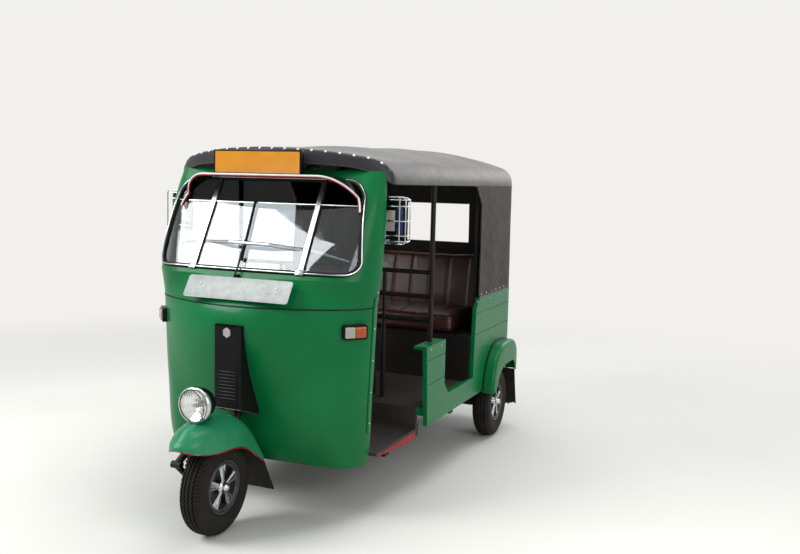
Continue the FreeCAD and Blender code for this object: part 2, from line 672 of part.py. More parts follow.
def engine_cover():
    """Louvred lid over the engine, hung from its top edge."""
    y1 = TAIL_Y
    panel = box(-LID_HALF, LID_HALF, y1 - LID_T, y1, LID_Z[0], LID_Z[1])
    for i in range(7):
        z = LID_Z[0] + 70.0 + i * 30.0
        for x in (-300.0, 60.0):
            panel = panel.cut(box(x, x + 240.0, y1 - LID_T - 1.0, y1 + 1.0, z, z + 12.0))
    parts = [panel]
    for x in (-250.0, 250.0):
        barrel = rod((x - 28.0, hinge_y(), HINGE_Z), (x + 28.0, hinge_y(), HINGE_Z), HINGE_BARREL_R)
        strap = box(x - 20.0, x + 20.0, y1, hinge_y() + 4.0, LID_Z[1] - 60.0, HINGE_Z)
        parts += [barrel, strap]
    solid = fused(parts)
    for x in (-250.0, 250.0):
        solid = solid.cut(rod((x - 60.0, hinge_y(), HINGE_Z), (x + 60.0, hinge_y(), HINGE_Z),
                              HINGE_R + RUNNING_GAP))
    return solid


def rear_mudguards():
    """Flared arches over the rear wheels."""
    x0, x1 = BODY_HALF, FLARE_X
    guard = arch_block(ARCH_R, x0, x1 + FLARE_T, ARCH_LOW_Z)
    guard = guard.cut(arch_block(ARCH_R - FLARE_T, x0 - 1.0, x1, ARCH_LOW_Z - 1.0))
    guard = guard.cut(Part.makeCylinder(WHEEL_CUT_R, 100.0, V(x1 - 20.0, REAR_AXLE_Y, TYRE_R + 30.0),
                                        V(1, 0, 0)))
    guard = guard.cut(box(x1 - 20.0, x1 + 60.0, REAR_AXLE_Y - WHEEL_CUT_R,
                          REAR_AXLE_Y + WHEEL_CUT_R, 200.0, TYRE_R + 30.0))
    return pair(guard)


def rear_mud_flaps():
    """Rubber flaps behind the rear wheels."""
    y = ARCH_Y + ARCH_R - FLARE_T / 2
    return pair(box(536.0, FLARE_X, y - 4.0, y + 4.0, 105.0, ARCH_LOW_Z - SEAT_GAP))


def tail_lamps():
    """Lamp clusters on the tail panel."""
    lamp = box(428.0, 492.0, TAIL_Y, TAIL_Y + 24.0, 560.0, 720.0)
    lamp = lamp.makeFillet(10.0, [e for e in lamp.Edges if e.CenterOfMass.y > TAIL_Y + 20.0])
    return pair(lamp)


def rear_bumper():
    """Bent tube below the tail, on two stays."""
    y = TAIL_Y + 20.0
    z, low = BUMPER_Z, FLOOR_Z - FLOOR_T - RAIL_H / 2
    bar = bent_tube([(-440.0, y, z - 60.0), (-420.0, y, z), (420.0, y, z), (440.0, y, z - 60.0)],
                    11.0, 30.0)
    stays = [bent_tube([(x, 1230.0 + SEAT_GAP, low), (x, y, low), (x, y, z)], 9.0, 20.0)
             for x in (-240.0, 240.0)]
    return fused([bar] + stays)


def rear_plate():
    """Blank plate on the tail below the lid."""
    plate = box(-170.0, 170.0, TAIL_Y, TAIL_Y + 3.0, PLATE_Z - 18.0, PLATE_Z + 40.0)
    return plate.cut(plate_holes())


def plate_holes():
    """The two bolt holes through the rear plate and the panel behind it."""
    return fused([rod((x, TAIL_Y - 60.0, PLATE_Z), (x, TAIL_Y + 20.0, PLATE_Z), PLATE_HOLE_R)
                  for x in (-PLATE_BOLT_X, PLATE_BOLT_X)])


def driver_seat_box():
    """Boxed seat base on the floor."""
    y0, y1 = DRIVER_SEAT_Y
    solid = box(-DRIVER_SEAT_HALF + 20.0, DRIVER_SEAT_HALF - 20.0, y0 + 20.0, STEP_Y,
                FLOOR_Z, DRIVER_BOX_TOP)
    back = box(-DRIVER_SEAT_HALF + 20.0, DRIVER_SEAT_HALF - 20.0, STEP_Y, y1,
               REAR_FLOOR_Z, DRIVER_BOX_TOP)
    return fused([solid, back])


def cushion(x0, x1, y0, y1, z0, z1, r):
    """A soft block with rounded edges."""
    block = box(x0, x1, y0, y1, z0, z1)
    return block.makeFillet(r, block.Edges)


def driver_seat():
    """Driver's cushion."""
    y0, y1 = DRIVER_SEAT_Y
    return cushion(-DRIVER_SEAT_HALF, DRIVER_SEAT_HALF, y0, y1,
                   DRIVER_BOX_TOP + SEAT_GAP, DRIVER_BOX_TOP + SEAT_THICK, 24.0)


def driver_backrest():
    """Driver's back pad in front of the rails."""
    rear = HOOP_Y[0] - RAIL_BAR_R - SEAT_GAP
    return cushion(-DRIVER_SEAT_HALF, DRIVER_SEAT_HALF, rear - 60.0, rear, 790.0, 1080.0, 22.0)


def partition_rails():
    """Rails behind the driver between the two posts."""
    y = HOOP_Y[0]
    half = roof_size(y)[0] - HOOD_T - HOOP_R - 2.5 - HOOP_R - SEAT_GAP
    bars = [rod((-half, y, z), (half, y, z), RAIL_BAR_R) for z in (815.0, 935.0, 1055.0)]
    posts = [rod((x, y, REAR_FLOOR_Z), (x, y, 1066.0), RAIL_BAR_R) for x in (-300.0, 300.0)]
    return fused(bars + posts)


def passenger_seat_base():
    """Bulkhead and shelf under the passenger bench, over the engine."""
    y0, y1 = PASSENGER_Y
    half = BODY_HALF - SIDE_T - 0.3
    front = box(-half, half, BULKHEAD_Y, BULKHEAD_Y + 16.0, REAR_FLOOR_Z, PASSENGER_BOX_TOP)
    shelf = box(-half, half, BULKHEAD_Y, 1150.0, PASSENGER_BOX_TOP - 16.0, PASSENGER_BOX_TOP)
    return fused([front, shelf])


def passenger_seat():
    """Passenger bench cushion."""
    y0, y1 = PASSENGER_Y
    return cushion(-PASSENGER_HALF, PASSENGER_HALF, y0, y1, PASSENGER_BOX_TOP + SEAT_GAP,
                   PASSENGER_BOX_TOP + 120.0, 30.0)


def passenger_backrest():
    """Passenger bench back, leaning rearward."""
    thick, edge, lean = 95.0, 28.0, math.radians(10.0)
    back = cushion(-PASSENGER_HALF, PASSENGER_HALF, 0.0, thick, 0.0, 430.0, edge)
    back.rotate(V(0, 0, 0), V(1, 0, 0), -math.degrees(lean))
    drop = edge - edge * math.cos(lean) + (thick - edge) * math.sin(lean)
    back.translate(V(0, PASSENGER_Y[1] + 4.0, PASSENGER_BOX_TOP + SEAT_GAP + drop))
    return back


def engine_block():
    """Engine and gearbox as one plain mass between the rear rails."""
    half, y0, y1, z0, z1 = ENGINE_BOX
    inner = RAIL_X - RAIL_W / 2 - 1.0
    low = box(-inner, inner, y0, y1, z0, FLOOR_Z)
    high = box(-half, half, y0, y1 - 60.0, FLOOR_Z, z1)
    return fused([low, high])


def silencer():
    """Exhaust box under the tail."""
    y, z = SILENCER_Y, SILENCER_Z
    body = rod((-150.0, y, z), (190.0, y, z), SILENCER_R)
    pipe = rod((190.0, y, z), (270.0, y + 20.0, z - 10.0), 14.0)
    hanger = box(-20.0, 20.0, y - 6.0, y + 6.0, z + SILENCER_R - 12.0, FLOOR_Z - FLOOR_T - RAIL_H + 12.0)
    return fused([body, pipe, hanger])


def trailing_arms():
    """Rear arms with their stub axles."""
    pivot_y, pivot_z = ARM_PIVOT
    x_arm = ARM_X
    arm = rod((x_arm, pivot_y, pivot_z), (x_arm, REAR_AXLE_Y, TYRE_R), 26.0)
    cross = rod((RAIL_X + RAIL_W / 2 + 0.2, pivot_y, pivot_z), (x_arm + 40.0, pivot_y, pivot_z), 22.0)
    hub = rod((x_arm - HUB_BACK, REAR_AXLE_Y, TYRE_R), (REAR_TRACK / 2 - 52.0, REAR_AXLE_Y, TYRE_R), 40.0)
    stub = rod((x_arm, REAR_AXLE_Y, TYRE_R), (REAR_TRACK / 2 + STUB_END, REAR_AXLE_Y, TYRE_R), AXLE_R)
    return pair(fused([arm, cross, hub, stub]))


def spring_unit(p, q, r):
    """A coil spring over a damper, turned from one ribbed outline."""
    length = math.sqrt(sum((b - a) ** 2 for a, b in zip(p, q)))
    turns = 8
    pitch = (length - 60.0) / turns
    pts = [(0.0, 0.0), (r * 0.5, 0.0), (r * 0.5, 30.0)]
    for i in range(turns):
        z = 30.0 + i * pitch
        pts += [(r * 0.72, z), (r, z + pitch * 0.25), (r, z + pitch * 0.6), (r * 0.72, z + pitch * 0.85)]
    pts += [(r * 0.5, length - 30.0), (r * 0.5, length), (0.0, length)]
    solid = face_of([(x, 0, z) for x, z in pts]).revolve(V(0, 0, 0), V(0, 0, 1), 360)
    axis = V(*q) - V(*p)
    solid.Placement = FreeCAD.Placement(V(*p), FreeCAD.Rotation(V(0, 0, 1), axis))
    return solid


def rear_shocks():
    """Rear spring units between the arms and the seat shelf."""
    unit = spring_unit((ARM_X, 880.0, 242.0), (ARM_X, 900.0, PASSENGER_BOX_TOP - 14.0), 38.0)
    return pair(unit.cut(passenger_seat_base()).cut(trailing_arms()[0]).Solids[0])


def drive_shafts():
    """Shafts from the gearbox to the rear hubs, with their boots."""
    y = REAR_AXLE_Y
    p, q = (ENGINE_BOX[0], y, SHAFT_Z), (ARM_X - HUB_BACK, y, TYRE_R)
    boot = Part.makeCone(30.0, 18.0, 60.0, V(*p), V(*q) - V(*p))
    shaft = fused([rod(p, q, 12.0), boot])
    ends = box(ENGINE_BOX[0] + SEAT_GAP, ARM_X - HUB_BACK - SEAT_GAP, y - 60.0, y + 60.0, 100.0, 500.0)
    return pair(shaft.common(ends))


def wheel_profile(points):
    """A wheel part turned about the X axis from an outline in x and radius."""
    return face_of([(x, 0, r) for x, r in points]).revolve(V(0, 0, 0), V(1, 0, 0), 360)


def tyre():
    """Ribbed tyre with open bead, centred on the origin."""
    w = TYRE_W / 2
    half = [(0.0, TYRE_R), (w * 0.22, TYRE_R - 0.6), (w * 0.25, TYRE_R - 6.5), (w * 0.31, TYRE_R - 6.5),
            (w * 0.34, TYRE_R - 1.6), (w * 0.68, TYRE_R - 8.0), (w * 0.86, TYRE_R - 19.0),
            (w, TYRE_R - 47.0), (w * 0.96, TYRE_R - 66.0), (w * 0.74, RIM_R + 4.0),
            (w * 0.66, RIM_R - 1.0), (w * 0.40, RIM_R - 1.0)]
    left = [(-x, r) for x, r in reversed(half[1:])]
    return wheel_profile(half + left)


def rim():
    """Pressed steel rim with its disc and hub barrel."""
    w = RIM_W / 2
    e = SEAT_GAP
    barrel = wheel_profile([
        (-w, RIM_R - 1.0 - e), (-w, RIM_R - 7.0), (-w * 0.5, RIM_R - 20.0), (w * 0.5, RIM_R - 20.0),
        (w, RIM_R - 7.0), (w, RIM_R - 1.0 - e), (w * 0.4, RIM_R - 1.0 - e), (w * 0.3, RIM_R - 14.0),
        (-w * 0.3, RIM_R - 14.0), (-w * 0.4, RIM_R - 1.0 - e)])
    disc = wheel_profile([(-4.0, HUB_R - 5.0), (4.0, HUB_R - 5.0), (6.0, RIM_R - 17.0), (-2.0, RIM_R - 17.0)])
    hub = wheel_profile([(-45.0, AXLE_R + RUNNING_GAP), (26.0, AXLE_R + RUNNING_GAP),
                         (26.0, HUB_R), (-45.0, HUB_R)])
    return fused([barrel, disc, hub])


def wheel_cap():
    """Bright five-spoke cap with a centre dome."""
    spokes = []
    for i in range(SPOKES):
        spoke = prism_x([(-15.0, 30.0), (15.0, 30.0), (9.0, CAP_R - 2.0), (-9.0, CAP_R - 2.0)], 26.0, 36.0)
        spoke.rotate(V(0, 0, 0), V(1, 0, 0), i * 360.0 / SPOKES)
        spokes.append(spoke)
    ring = wheel_profile([(24.0, CAP_R - 6.0), (36.0, CAP_R - 6.0), (33.0, CAP_R), (24.0, CAP_R)])
    dome = wheel_profile([(26.0 + SEAT_GAP, 0.0), (52.0, 0.0), (50.0, 14.0), (44.0, 24.0),
                          (36.0, 34.0), (26.0 + SEAT_GAP, 34.0)])
    return fused(spokes + [ring, dome])


def placed(shape, x, y, side=1.0):
    """A wheel part on its axle, with its outer face to the left or the right."""
    shape = shape.copy()
    if side < 0:
        shape.rotate(V(0, 0, 0), V(0, 0, 1), 180)
    shape.translate(V(x, y, TYRE_R))
    return shape


def guard_wire(y, half, crown, skirt, inset):
    """One cross section of the front mudguard: a round top on straight skirts."""
    a, top = half - inset, crown - inset
    low = skirt - (30.0 if inset else 0.0)
    r = min(a * 0.85, (top - skirt) * 0.8)
    c = math.cos(math.radians(45))
    left = [V(a, y, low), V(a, y, top - r), V(a - r + r * c, y, top - r + r * c), V(a - r, y, top)]
    right = [V(-p.x, p.y, p.z) for p in left]
    return Part.Wire([
        Part.makeLine(left[0], left[1]), Part.Arc(*left[1:]).toShape(),
        Part.makeLine(left[3], right[3]), Part.Arc(*reversed(right[1:])).toShape(),
        Part.makeLine(right[1], right[0]), Part.makeLine(right[0], left[0])])


def front_mudguard():
    """Deep mudguard that turns with the front wheel."""
    outer = Part.makeLoft([guard_wire(*s, 0.0) for s in GUARD_SECTIONS], True, False)
    first = GUARD_SECTIONS[0]
    inner_sections = [(first[0] + GUARD_T, first[1] - 2.0, first[2] - 1.0, first[3])] + list(GUARD_SECTIONS[1:])
    last = GUARD_SECTIONS[-1]
    inner_sections.append((last[0] + 20.0, last[1], last[2] - 30.0, last[3] - 10.0))
    inner = Part.makeLoft([guard_wire(*s, GUARD_T) for s in inner_sections], True, False)
    slot = box(-120.0, -80.0, SHOCK_TOP[0] - 18.0, SHOCK_TOP[0] + 18.0, 330.0, SHOCK_TOP[1] + 18.0)
    return outer.cut(inner).cut(slot).cut(fork())


def front_mud_flap():
    """Rubber flap behind the front wheel."""
    profile = [(-842.0, 300.0), (-836.0, 300.0), (-728.0, 108.0), (-734.0, 105.0)]
    return prism_x(profile, -92.0, 92.0).cut(front_mudguard())


def headlamp():
    """Lamp bucket, bezel and its foot on the mudguard."""
    y, z, r = LAMP_Y, LAMP_Z, LAMP_R
    outline = [(0.0, 0.0), (r - 4.0, 0.0), (r, 4.0), (r, 14.0), (r - 3.0, 20.0), (r - 6.0, 40.0),
               (r - 16.0, 72.0), (r - 38.0, 98.0), (0.0, LAMP_LENGTH)]
    solid = face_of([(x, d, 0) for x, d in outline]).revolve(V(0, 0, 0), V(0, 1, 0), 360)
    bowl = ((0.0, 34.0), (30.0, 28.0), (r - 9.0, 6.0), (r - 9.0, -1.0), (0.0, -1.0))
    dish = face_of([(x, d, 0) for x, d in bowl]).revolve(V(0, 0, 0), V(0, 1, 0), 360)
    lamp = solid.cut(dish)
    lamp.translate(V(0, y, z))
    foot = box(-24.0, 24.0, y + 30.0, y + 78.0, 480.0, z - 50.0)
    return fused([lamp, foot]).cut(Part.makeLoft([guard_wire(*s, 0.0) for s in GUARD_SECTIONS], True, False))


def headlamp_lens():
    """Round glass in the bezel."""
    r = LAMP_R - 9.0 - SEAT_GAP
    glass = face_of([(0.0, -7.0, 0), (r * 0.6, -4.0, 0), (r, 1.0, 0), (r, 4.0, 0), (0.0, 1.0, 0)])
    glass = glass.revolve(V(0, 0, 0), V(0, 1, 0), 360)
    glass.translate(V(0, LAMP_Y, LAMP_Z))
    return glass


def fork():
    """Stem, crown, single leg and trailing link with the wheel's stub axle."""
    stem = rod(steer_point(440.0), steer_point(BAR_Z - 10.0), STEM_R)
    py, pz = LINK_PIVOT
    leg = bent_tube([(0.0, -905.0, 446.0), (-76.0, -925.0, 440.0), (-78.0, -1090.0, 395.0),
                     (LINK_X, py, pz)], FORK_TUBE_R, 18.0)
    pivot = rod((LINK_X - 22.0, py, pz), (LINK_X + 24.0, py, pz), 15.0)
    link = rod((LINK_X - 4.0, py, pz), (LINK_X - 4.0, FRONT_AXLE_Y, TYRE_R), 13.0)
    boss = rod((SHOCK_X - 12.0, FRONT_AXLE_Y, TYRE_R), (-58.0, FRONT_AXLE_Y, TYRE_R), BOSS_R)
    bracket = rod((SHOCK_X - 12.0, SHOCK_TOP[0], SHOCK_TOP[1]), (-76.0, SHOCK_TOP[0], SHOCK_TOP[1]), 12.0)
    stub = rod((LINK_X, FRONT_AXLE_Y, TYRE_R), (STUB_END, FRONT_AXLE_Y, TYRE_R), AXLE_R)
    return fused([stem, leg, pivot, link, boss, bracket, stub])


def front_shock():
    """Front spring unit beside the wheel."""
    low = (SHOCK_X, FRONT_AXLE_Y + 2.0, TYRE_R + BOSS_R)
    high = (SHOCK_X, SHOCK_TOP[0], SHOCK_TOP[1])
    unit = spring_unit(low, high, 17.0)
    return unit.cut(fork()).Solids[0]


def handlebar():
    """Handlebar with its column shroud and grips."""
    y = steer_point(BAR_Z)[1]
    pts = [(-BAR_HALF, y + BAR_BACK, BAR_Z + 12.0), (-110.0, y, BAR_Z), (110.0, y, BAR_Z),
           (BAR_HALF, y + BAR_BACK, BAR_Z + 12.0)]
    bar = bent_tube(pts, BAR_R, 60.0)
    grips = []
    for s in (-1, 1):
        d = V(BAR_HALF - 110.0, BAR_BACK, 12.0).normalize()
        end = V(BAR_HALF, y + BAR_BACK, BAR_Z + 12.0)
        start = end - d * GRIP_LEN
        grips.append(rod((s * start.x, start.y, start.z), (s * end.x, end.y, end.z), GRIP_R))
    pod = cushion(-70.0, 70.0, y - 46.0, y + 42.0, BAR_Z - 34.0, BAR_Z + 30.0, 16.0)
    stem = rod(steer_point(440.0), steer_point(BAR_Z - 10.0), STEM_R)
    return fused([bar, pod] + grips).cut(stem)


def export(name, *shapes):
    """Write one node as a STEP file."""
    shape = shapes[0] if len(shapes) == 1 else Part.makeCompound(list(shapes))
    bad = [s for s in shape.Solids if not s.isValid() or s.Volume <= 0]
    box_ = shape.BoundBox
    print(name, len(shape.Solids), "solids", round(shape.Volume / 1e6, 2), "dm3",
          [round(v) for v in (box_.XMin, box_.XMax, box_.YMin, box_.YMax, box_.ZMin, box_.ZMax)],
          "BAD" if bad or not shape.Solids else "")
    shape.exportStep(os.path.join("parts", name + ".step"))


def main():
    """Build every piece and write it."""
    os.makedirs("parts", exist_ok=True)
    single = {
        "nose_panel": nose_panel, "screen_surround": screen_surround, "windscreen": windscreen,
        "screen_trim": screen_trim, "visor": visor, "sign_board": sign_board,
        "front_plate": front_plate, "wiper": wiper, "column_cover": column_cover,
        "dashboard": dashboard, "head_tube": head_tube, "hood": hood, "hood_frame": hood_frame,
        "floor_pan": floor_pan, "chassis_frame": chassis_frame, "rear_body": rear_body,
        "engine_cover": engine_cover, "rear_bumper": rear_bumper, "rear_plate": rear_plate,
        "driver_seat_box": driver_seat_box, "driver_seat": driver_seat,
        "driver_backrest": driver_backrest, "partition_rails": partition_rails,
        "passenger_seat_base": passenger_seat_base, "passenger_seat": passenger_seat,
        "passenger_backrest": passenger_backrest, "engine_block": engine_block,
        "silencer": silencer, "front_mudguard": front_mudguard, "front_mud_flap": front_mud_flap,
        "headlamp": headlamp, "headlamp_lens": headlamp_lens, "fork": fork,
        "front_shock": front_shock, "handlebar": handlebar,
    }
    for name, make in single.items():
        export(name, make())
    both_sides = {
        "front_indicators": front_indicators, "mirrors": mirrors, "sill_strips": sill_strips,
        "side_panels": side_panels, "rear_mudguards": rear_mudguards,
        "rear_mud_flaps": rear_mud_flaps, "tail_lamps": tail_lamps,
        "trailing_arms": trailing_arms, "rear_shocks": rear_shocks,
        "drive_shafts": drive_shafts,
    }
    for name, make in both_sides.items():
        export(name, *make())
    wheel_parts = {"tyre": tyre(), "rim": rim(), "cap": wheel_cap()}
    stations = (("front", 0.0, FRONT_AXLE_Y, 1.0), ("rear_left", REAR_TRACK / 2, REAR_AXLE_Y, 1.0),
                ("rear_right", -REAR_TRACK / 2, REAR_AXLE_Y, -1.0))
    for place, x, y, side in stations:
        for part, shape in wheel_parts.items():
            export(place + "_" + part, placed(shape, x, y, side))


main()
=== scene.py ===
"""Looks of a three-wheeled auto rickshaw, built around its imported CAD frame.

Metres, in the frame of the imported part: +X is the vehicle's left, -Y its front, +Z up.
"""

import logging
import math
from dataclasses import dataclass
from enum import Enum
from functools import cache
from typing import Callable, Iterable, Sequence

import bmesh
import bpy
from bmesh.types import BMesh, BMVert
from mathutils import Matrix, Vector, noise
from mathutils.bvhtree import BVHTree


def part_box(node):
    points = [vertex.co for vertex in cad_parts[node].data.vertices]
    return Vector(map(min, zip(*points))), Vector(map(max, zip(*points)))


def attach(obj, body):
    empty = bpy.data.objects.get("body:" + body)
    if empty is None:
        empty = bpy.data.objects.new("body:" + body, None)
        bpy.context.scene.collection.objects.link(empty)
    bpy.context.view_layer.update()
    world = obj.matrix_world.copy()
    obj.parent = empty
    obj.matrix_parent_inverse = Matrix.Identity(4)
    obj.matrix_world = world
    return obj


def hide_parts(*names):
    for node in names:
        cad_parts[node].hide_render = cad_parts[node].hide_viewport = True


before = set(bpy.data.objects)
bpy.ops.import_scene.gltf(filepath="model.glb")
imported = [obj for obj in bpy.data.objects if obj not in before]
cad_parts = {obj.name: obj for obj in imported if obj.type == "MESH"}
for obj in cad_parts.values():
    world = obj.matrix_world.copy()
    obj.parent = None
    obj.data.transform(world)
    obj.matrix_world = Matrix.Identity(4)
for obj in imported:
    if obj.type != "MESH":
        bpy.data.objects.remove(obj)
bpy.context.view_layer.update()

LOG = logging.getLogger("rickshaw")
SIDES = (1.0, -1.0)
TURN = 2.0 * math.pi
ORIGIN = (0.0, 0.0, 0.0)
LEFT = (1.0, 0.0, 0.0)
BACK = (0.0, 1.0, 0.0)
SEEK_STEPS = 22


def linear(colour: str) -> tuple[float, float, float, float]:
    """Turn an sRGB hex colour into the linear colour that a socket holds.

    Args:
        colour: The colour as #RRGGBB.

    Returns:
        Linear red, green, blue and an alpha of one.
    """
    parts = [int(colour[i:i + 2], 16) / 255.0 for i in (1, 3, 5)]
    red, green, blue = (c / 12.92 if c <= 0.04045 else ((c + 0.055) / 1.055) ** 2.4 for c in parts)
    return red, green, blue, 1.0


def add_node(tree: bpy.types.NodeTree, kind: str, inputs: dict | None = None, **settings) -> bpy.types.Node:
    """Add a shader node with its settings, values and links.

    Args:
        tree: The node tree that gets the node.
        kind: The node's type without its ShaderNode prefix.
        inputs: Values or output sockets, by the input's name or number.
        settings: The node's own properties.

    Returns:
        The new node.
    """
    node = tree.nodes.new("ShaderNode" + kind)
    for key, value in settings.items():
        setattr(node, key, value)
    for key, value in (inputs or {}).items():
        if isinstance(value, bpy.types.NodeSocket):
            tree.links.new(value, node.inputs[key])
        else:
            node.inputs[key].default_value = value
    return node


def bare_material(name: str) -> tuple[bpy.types.Material, bpy.types.NodeTree]:
    """Start a material with an empty node tree."""
    made = bpy.data.materials.new(name)
    made.use_nodes = True
    made.node_tree.nodes.clear()
    return made, made.node_tree


def blend(tree: bpy.types.NodeTree, share: object, first: object, second: object) -> bpy.types.NodeSocket:
    """Mix two colours by a share."""
    return add_node(tree, "Mix", {0: share, 6: first, 7: second}, data_type="RGBA").outputs[2]


def bumped(tree: bpy.types.NodeTree, height: bpy.types.NodeSocket, depth_mm: float) -> bpy.types.NodeSocket:
    """Turn a height map into a bumped normal."""
    inputs = {"Height": height, "Strength": 1.0, "Distance": depth_mm / 1000.0}
    return add_node(tree, "Bump", inputs).outputs[0]


def coated(tree: bpy.types.NodeTree, inputs: dict) -> None:
    """Close a tree with the principled shader and the output."""
    surface = add_node(tree, "BsdfPrincipled", inputs)
    add_node(tree, "OutputMaterial", {"Surface": surface.outputs[0]})


def per_mm(size: float) -> float:
    """Give the texture scale at which one feature is this many millimetres wide."""
    return 1000.0 / size


class Grain(Enum):
    """How a surface was made, which sets the relief that its material shows."""

    SMOOTH = "smooth"
    ORANGE_PEEL = "sprayed"
    MOULDED = "moulded"
    LEATHER = "embossed"
    CAST = "cast"
    RIBBED = "ribbed"


@dataclass(frozen=True)
class Finish:
    """A solid surface with slow colour change, grain, dust and worn spots.

    Sizes are in millimetres. Dust lies on what faces up and near the ground.
    """

    name: str
    colour: str
    tone: str
    roughness: float
    tone_mm: float = 160.0
    spread: float = 0.06
    metallic: float = 0.0
    specular: float = 0.5
    coat: float = 0.0
    sheen: float = 0.0
    grain: Grain = Grain.SMOOTH
    grain_mm: float = 1.0
    depth_mm: float = 0.03
    dust: float = 0.0
    dust_colour: str = "#7C6E5C"
    worn: float = 0.0
    worn_mm: float = 18.0
    worn_colour: str = "#4A2A18"

    def relief(self, tree: bpy.types.NodeTree, place: bpy.types.NodeSocket) -> bpy.types.NodeSocket:
        """Make the height map of the grain.

        Args:
            tree: The material's node tree.
            place: Object coordinates.

        Returns:
            The height socket.
        """
        scale = per_mm(self.grain_mm)
        if self.grain is Grain.LEATHER:
            return add_node(tree, "TexVoronoi", {"Vector": place, "Scale": scale},
                            feature="SMOOTH_F1").outputs["Distance"]
        if self.grain is Grain.RIBBED:
            return add_node(tree, "TexWave", {"Vector": place, "Scale": scale / TURN * 2.0},
                            bands_direction="X").outputs["Fac"]
        detail = {Grain.ORANGE_PEEL: 1.0, Grain.MOULDED: 3.0, Grain.CAST: 5.0}[self.grain]
        return add_node(tree, "TexNoise", {"Vector": place, "Scale": scale, "Detail": detail}).outputs["Fac"]

    def dirt(self, tree: bpy.types.NodeTree, texture: bpy.types.Node) -> bpy.types.NodeSocket:
        """Make the share of dust: more low down and on upward faces, in patches.

        Args:
            tree: The material's node tree.
            texture: The texture coordinate node.

        Returns:
            The factor socket.
        """
        place = texture.outputs["Object"]
        height = add_node(tree, "SeparateXYZ", {0: place}).outputs["Z"]
        low = add_node(tree, "MapRange", {0: height, 1: 0.10, 2: 0.75, 3: 1.0, 4: 0.12}).outputs[0]
        up = add_node(tree, "SeparateXYZ", {0: texture.outputs["Normal"]}).outputs["Z"]
        level = add_node(tree, "MapRange", {0: up, 1: 0.2, 2: 1.0, 3: 0.0, 4: 0.45}).outputs[0]
        most = add_node(tree, "Math", {0: low, 1: level}, operation="MAXIMUM").outputs[0]
        patch = add_node(tree, "TexNoise", {"Vector": place, "Scale": per_mm(70.0), "Detail": 6.0,
                                            "Roughness": 0.65}).outputs["Fac"]
        share = add_node(tree, "MapRange", {0: patch, 1: 0.30, 2: 0.72, 3: 0.15, 4: 1.0}).outputs[0]
        both = add_node(tree, "Math", {0: most, 1: share}, operation="MULTIPLY").outputs[0]
        return add_node(tree, "Math", {0: both, 1: self.dust}, operation="MULTIPLY").outputs[0]

    @cache
    def material(self) -> bpy.types.Material:
        """Build the material once."""
        made, tree = bare_material(self.name)
        texture = add_node(tree, "TexCoord")
        place = texture.outputs["Object"]
        patches = add_node(tree, "TexNoise", {"Vector": place, "Scale": per_mm(self.tone_mm), "Detail": 4.0})
        share = add_node(tree, "MapRange", {0: patches.outputs["Fac"], 1: 0.36, 2: 0.64})
        colour = blend(tree, share.outputs[0], linear(self.colour), linear(self.tone))
        rub = add_node(tree, "TexNoise", {"Vector": place, "Scale": per_mm(38.0), "Detail": 5.0})
        rough = add_node(tree, "MapRange", {0: rub.outputs["Fac"], 1: 0.3, 2: 0.7,
                                            3: max(0.03, self.roughness - self.spread),
                                            4: min(1.0, self.roughness + self.spread)}).outputs[0]
        metallic: bpy.types.NodeSocket | float = self.metallic
        if self.dust:
            dirt = self.dirt(tree, texture)
            colour = blend(tree, dirt, colour, linear(self.dust_colour))
            rough = add_node(tree, "Mix", {0: dirt, 2: rough, 3: 0.9}).outputs[0]
        if self.worn:
            spots = add_node(tree, "TexNoise", {"Vector": place, "Scale": per_mm(self.worn_mm),
                                                "Detail": 7.0, "Roughness": 0.62}).outputs["Fac"]
            edge = 0.78 - 0.28 * self.worn
            chips = add_node(tree, "MapRange", {0: spots, 1: edge, 2: edge + 0.03}).outputs[0]
            colour = blend(tree, chips, colour, linear(self.worn_colour))
            rough = add_node(tree, "Mix", {0: chips, 2: rough, 3: 0.85}).outputs[0]
            if self.metallic:
                metallic = add_node(tree, "MapRange", {0: chips, 3: self.metallic, 4: 0.1}).outputs[0]
        inputs = {"Base Color": colour, "Roughness": rough, "Metallic": metallic,
                  "Specular IOR Level": self.specular, "Coat Weight": self.coat, "Coat Roughness": 0.06,
                  "Sheen Weight": self.sheen}
        if self.grain is not Grain.SMOOTH:
            inputs["Normal"] = bumped(tree, self.relief(tree, place), self.depth_mm)
        coated(tree, inputs)
        return made


@dataclass(frozen=True)
class Clear:
    """Glass or clear moulded plastic, with faint smears and, on a lamp, flutes."""

    name: str
    colour: str
    roughness: float = 0.02
    ior: float = 1.5
    transmission: float = 1.0
    flute_mm: float = 0.0
    flute_depth_mm: float = 0.6

    @cache
    def material(self) -> bpy.types.Material:
        """Build the material once."""
        made, tree = bare_material(self.name)
        place = add_node(tree, "TexCoord").outputs["Object"]
        smears = add_node(tree, "TexNoise", {"Vector": place, "Scale": per_mm(90.0), "Detail": 6.0,
                                             "Distortion": 0.6})
        rough = add_node(tree, "MapRange", {0: smears.outputs["Fac"], 1: 0.45, 2: 0.75,
                                            3: self.roughness, 4: self.roughness + 0.06})
        inputs = {"Base Color": linear(self.colour), "Roughness": rough.outputs[0], "IOR": self.ior,
                  "Transmission Weight": self.transmission}
        if self.flute_mm:
            wave = add_node(tree, "TexWave", {"Vector": place, "Scale": per_mm(self.flute_mm) / TURN * 2.0},
                            bands_direction="X")
            inputs["Normal"] = bumped(tree, wave.outputs["Fac"], self.flute_depth_mm)
        coated(tree, inputs)
        return made


# Alkyd enamel sprayed on pressed steel: deep gloss with a soft orange peel, road dust low down.
GREEN_ENAMEL = Finish("green_alkyd_enamel", "#006C3A", "#006030", 0.30, tone_mm=420.0, spread=0.05,
                      specular=0.13,
                      coat=0.07, grain=Grain.ORANGE_PEEL, grain_mm=7.0, depth_mm=0.03, dust=0.04,
                      worn=0.06, worn_mm=26.0, worn_colour="#3C2416")
